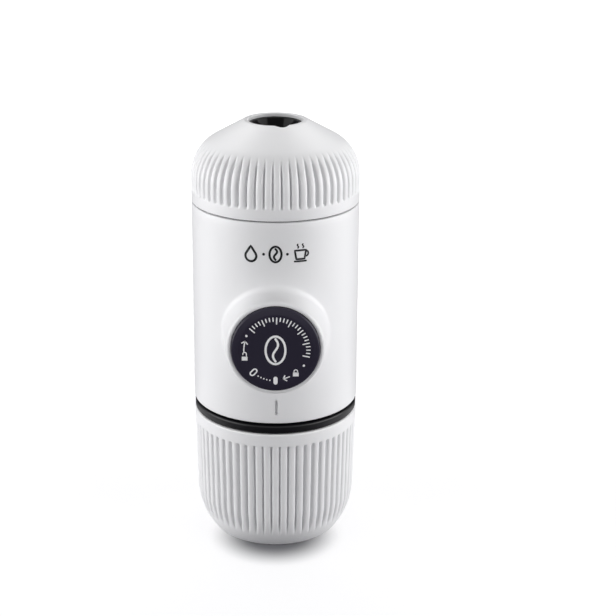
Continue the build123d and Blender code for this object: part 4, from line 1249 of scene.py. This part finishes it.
# %% Finishes for the carried solids
finishes = {
    grey_nylon: ("inlet_pipe", "pump_head", "delivery_pipe", "pump_cylinder", "chassis"),
    black_nylon: ("base_plate", "intake_strainer", "rod_bush", "piston_head"),
    silicone: ("air_valve", "intake_valve", "delivery_valve", "piston_seal", "outlet_valve"),
    spring_wire: ("retaining_clip",),
    screw_steel: ("pump_screws",),
    moulded("natural_acetal", "#D9D7CC", 0.33, 0.04, 0.9, 0.002, "#DEDCD2"): ("piston_rod",),
}
for finish, names in finishes.items():
    for name in names:
        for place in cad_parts[name].material_slots:
            place.material = finish
        print(name, "has", finish.name)

# %% [markdown]
# ## The studio
#
# A pale floor, and wide soft boxes left and right that stand low, a little in front of the
# maker. They leave the middle of a round white body in half shade and brighten its sides,
# which shows the roundness and the ribs. A weak box in front keeps the middle from going
# dull, and one above and behind lights the shoulders and leaves the hollow over the knob in
# shade. One ring of lamps all round would be evener, but a white piece would then lose its
# shape.
#
# Camera, mirror and glass rays see the background as plain white. The floor adds a little
# light of its own for those rays only, so that it is white too. That added light is held back
# round a point a little in front of the foot, which paints a darker shadow there on top of the
# real one. Far out, where the lamps fade, it adds more for the camera alone.

# %% Which rays see the plain background
def seen_rays(tree):
    """The Light Path node, and what is 1 for camera, mirror and glass rays."""
    rays = add_node(tree, "LightPath")
    seen = rays.outputs["Is Camera Ray"]
    for ray in ("Is Glossy Ray", "Is Transmission Ray"):
        seen = add_node(
            tree, "Math", {"operation": "MAXIMUM"}, _0=seen, _1=rays.outputs[ray]
        ).outputs[0]
    return rays, seen


# %% Floor
let_go()
bpy.ops.mesh.primitive_plane_add(size=14)
floor = named("studio_floor")
# when the cup is pulled off downwards, the floor it stands on goes down with it
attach(floor, "cup")
# a grey floor that the lifts below whiten; held back near the foot, they leave its grey as a
# painted shadow
floor_paint, tree, shader = new_material(
    "studio_floor", {"Base Color": paint("#7C7C80"), "Roughness": 0.5, "Specular IOR Level": 0.0}
)
rays, seen = seen_rays(tree)
place = add_node(tree, "TexCoord").outputs["Object"]
# the middle of the painted contact shadow, a little in front of the foot
painted_shadow_middle = (0, -0.0154, 0)
away = add_node(tree, "VectorMath", {"operation": "DISTANCE", "1": painted_shadow_middle}, _0=place)
lifts = []
# how far from there each lift starts and ends, in metres, its strength and who sees it
for start, end, most, ray in (
    # the first lift is held back round the foot and paints a darker shadow there; the second
    # whitens the far floor
    (0.0097, 0.0262, 0.84, seen),
    (0.08, 0.6, 0.6, rays.outputs["Is Camera Ray"]),
):
    rise = add_node(
        tree, "MapRange",
        {"interpolation_type": "SMOOTHSTEP", "From Min": start, "From Max": end, "To Max": most},
        Value=away.outputs["Value"],
    )
    lifts.append(add_node(tree, "Math", {"operation": "MULTIPLY"}, _0=rise.outputs[0], _1=ray))
# the first lift leaves the painted shadow round the foot, the second whitens the floor far out
painted_shadow_lift, far = (lift.outputs[0] for lift in lifts)
lift = add_node(tree, "Math", {"operation": "ADD"}, _0=painted_shadow_lift, _1=far)
glow = add_node(tree, "Emission", {"Color": (1, 1, 1, 1)}, Strength=lift.outputs[0])
both = add_node(tree, "AddShader", _0=shader.outputs[0], _1=glow.outputs[0])
# from below the floor is clear, so the underside can be looked at
below = add_node(
    tree, "MixShader", _0=add_node(tree, "NewGeometry").outputs["Backfacing"],
    _1=both.outputs[0], _2=add_node(tree, "BsdfTransparent").outputs[0],
)
tree.links.new(below.outputs[0], tree.nodes["Material Output"].inputs["Surface"])
floor.data.materials.append(floor_paint)

# %% World
world = bpy.data.worlds.new("studio_world")
bpy.context.scene.world = world
world.use_nodes = True
tree = world.node_tree
seen = seen_rays(tree)[1]
soft_light = 0.13
level = add_node(tree, "MapRange", {"To Min": soft_light, "To Max": 1.0}, Value=seen)
backdrop = tree.nodes["Background"]
backdrop.inputs["Color"].default_value = (1, 1, 1, 1)
tree.links.new(level.outputs["Result"], backdrop.inputs["Strength"])


# %% Soft boxes
def soft_box(name, azimuth, away, height, aim_height, width, tall, power):
    """A soft box at an azimuth from the front, in degrees; metres and watts."""
    let_go()
    a = radians(azimuth)
    place = Vector((away * sin(a), -away * cos(a), height))
    bpy.ops.object.light_add(type="AREA", location=place)
    lamp = named(name)
    lamp.data.shape = "RECTANGLE"
    lamp.data.size, lamp.data.size_y, lamp.data.energy = width, tall, power
    lamp.rotation_euler = (Vector((0, 0, aim_height)) - place).to_track_quat("-Z", "Y").to_euler()
    lamp.visible_camera = False
    print(name, "gives", power, "W")


for side, name in ((-1, "left"), (1, "right")):
    soft_box(name + "_box", side * 74, 0.6, 0.12, 0.09, 0.66, 0.56, 5.25)
soft_box("front_box", 0, 0.9, 0.1, 0.08, 0.7, 0.4, 0.2)
soft_box("top_box", 180, 0.3, 0.6, 0.15, 0.6, 0.3, 1.7)

# %% [markdown]
# ## Dark cards
#
# White plastic on a white floor loses its edges, because at a grazing angle it mirrors the
# floor. Photographers stand black cards just out of the picture, so that the edges mirror
# those instead. Here a card may also stand in full view: its ray visibility is switched off
# for everything except reflections. One card stands behind the maker for the edges, and one
# lies on the floor in front and keeps the dark ring and the knob dark.

# %% Dark cards that only reflections see
card_paint = new_material("dark_card", {"Base Color": paint("#3C3C40"), "Roughness": 0.9})[0]


def dark_card(name, place, tipped, width, tall):
    """A card that a mirror sees and neither the camera nor a lamp does."""
    let_go()
    bpy.ops.mesh.primitive_plane_add(size=1, location=place, rotation=(tipped, 0, 0))
    card = named(name)
    card.scale = (width, tall, 1)
    card.visible_camera = card.visible_diffuse = card.visible_shadow = False
    card.visible_transmission = False
    card.data.materials.append(card_paint)
    return card


dark_card("card_behind", (0, 0.09, 0.1), pi / 2, 0.34, 0.2)
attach(dark_card("card_in_front", (0, -0.6, 0.002), 0, 0.46, 1.1), "cup")

# %% Finish
bpy.context.scene.view_settings.view_transform = "Standard"
